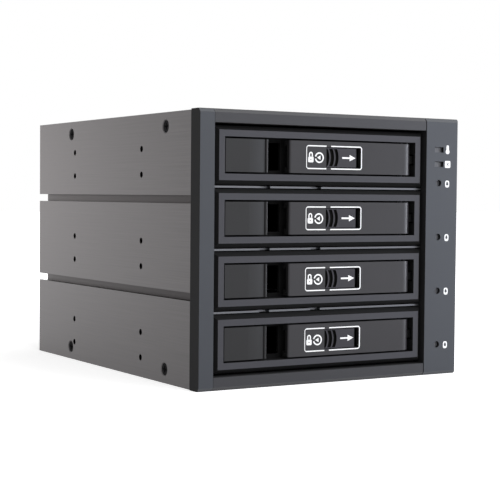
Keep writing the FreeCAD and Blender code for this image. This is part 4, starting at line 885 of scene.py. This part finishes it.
power_width = (POWER_CONTACTS - 1) * CONTACT_PITCH_MM
data_width = (DATA_CONTACTS - 1) * CONTACT_PITCH_MM
for number in tray_numbers:
    low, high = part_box(f"drive_socket_{number}")
    foot = (low.z + high.z) / 2 - CONTACT_DROP_MM * MM
    contact = bowed_contact(low.y + CONTACT_REACH_MM[0] * MM, low.y + CONTACT_REACH_MM[1] * MM, foot)
    power_centre = (low.x + high.x) / 2 + (data_width + BLOCK_GAP_MM) / 2 * MM
    data_centre = power_centre - (power_width / 2 + BLOCK_GAP_MM + data_width / 2) * MM
    places = np.concatenate([contact_row(power_centre, POWER_CONTACTS),
                             contact_row(data_centre, DATA_CONTACTS)])
    copies = [contact + np.array((x, 0, 0)) for x in places]
    make_piece(f"drive_contacts_{number}", copies, gold, "cage")
print(len(places), "contacts in each drive socket")

# %% [markdown]
# ## Data ports
#
# A data port holds a plastic blade with seven gold contacts on one side. The blade's edge is bent
# over, so that a plug goes in only one way round: its cross-section is an L of six corners,
# carried from the bottom of the port to just inside its mouth. The contacts are those of the
# drive sockets, turned on their side.

# %% Blades and contacts in the data ports
PORT_LEVELS_MM = (20.8, 49.6, 78.4, 107.2)
PORT_DEPTH_MM, PORT_RECESS_MM = 6.0, 0.8
BLADE_OUTLINE_MM = ((-0.1, -5.0), (0.8, -5.0), (0.8, 4.6), (-1.0, 4.6), (-1.0, 3.7), (-0.1, 3.7))
CONTACTS_BELOW_MM, CONTACT_FOOT_MM, CONTACT_TIP_MM = 0.6, 0.2, 0.3

ports_low, ports_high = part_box("data_ports")
port_x = (ports_low.x + ports_high.x) / 2
port_bottom, port_mouth = ports_high.y - PORT_DEPTH_MM * MM, ports_high.y - PORT_RECESS_MM * MM
blade = np.array([[(x * MM + port_x, y, z * MM) for x, z in BLADE_OUTLINE_MM]
                  for y in (port_bottom, port_mouth)])
flat_contact = bowed_contact(port_bottom + CONTACT_FOOT_MM * MM, port_mouth - CONTACT_TIP_MM * MM, 0.0)
upright_contact = flat_contact[..., [2, 1, 0]] * (-1, 1, 1)
blade_face = port_x + BLADE_OUTLINE_MM[0][0] * MM
port_levels = np.array(PORT_LEVELS_MM) * MM
make_piece("port_blades", [blade + np.array((0, 0, level)) for level in port_levels],
           finishes["socket_plastic"], "cage")
copies = [upright_contact + np.array((blade_face, 0, z)) for level in port_levels
          for z in contact_row(level - CONTACTS_BELOW_MM * MM, DATA_CONTACTS)]
make_piece("port_contacts", copies, gold, "cage")
print(len(copies), "contacts in the data ports")

# %% [markdown]
# ## Pins of the power inlets
#
# The pins of a power inlet are square brass wire, tinned, and end in a blunt point. The solids
# have them as plain bars of the inlet's plastic. So each gets a skin of tinned metal just outside
# the bar: four corners carried along the pin, which draw together at its end.

# %% Pins in the power inlets
INLET_DEPTH_MM, INLET_HALF_MM = 10.5, 11.5
PIN_LENGTH_MM, PIN_PITCH_MM = 5.4, 5.08
PIN_STEPS = (-1.5, -0.5, 0.5, 1.5)
PIN_SHAPE = ((0.0, 0.84), (0.85, 0.84), (1.0, 0.45))  # share of the length, and half the width in millimetres

inlets_low, inlets_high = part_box("power_inlets")
pin_bottom = inlets_high.y - INLET_DEPTH_MM * MM
corner_x, corner_z = np.array([-1, 1, 1, -1]), np.array([-1, -1, 1, 1])
pin = np.stack([np.stack([half * MM * corner_x, np.full(4, pin_bottom + way * PIN_LENGTH_MM * MM),
                          half * MM * corner_z], axis=-1) for way, half in PIN_SHAPE])
inlet_x = (inlets_low.x + inlets_high.x) / 2
inlet_levels = (inlets_low.z + INLET_HALF_MM * MM, inlets_high.z - INLET_HALF_MM * MM)
pins = [pin + np.array((inlet_x, 0, level + step * PIN_PITCH_MM * MM))
        for level in inlet_levels for step in PIN_STEPS]
make_piece("inlet_pins", pins, tinned, "cage")
print(len(pins), "pins in the power inlets")

# %% [markdown]
# ## The end
#
# How much the finished model has grown beyond the size of the CAD model is printed, because
# what is added here must not make the object any larger.

# %% Print the growth and finish
full_low, full_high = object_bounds()
growth = (full_high - full_low) - (cad_high - cad_low)
print("grown by", [round(part / MM, 3) for part in growth], "mm")
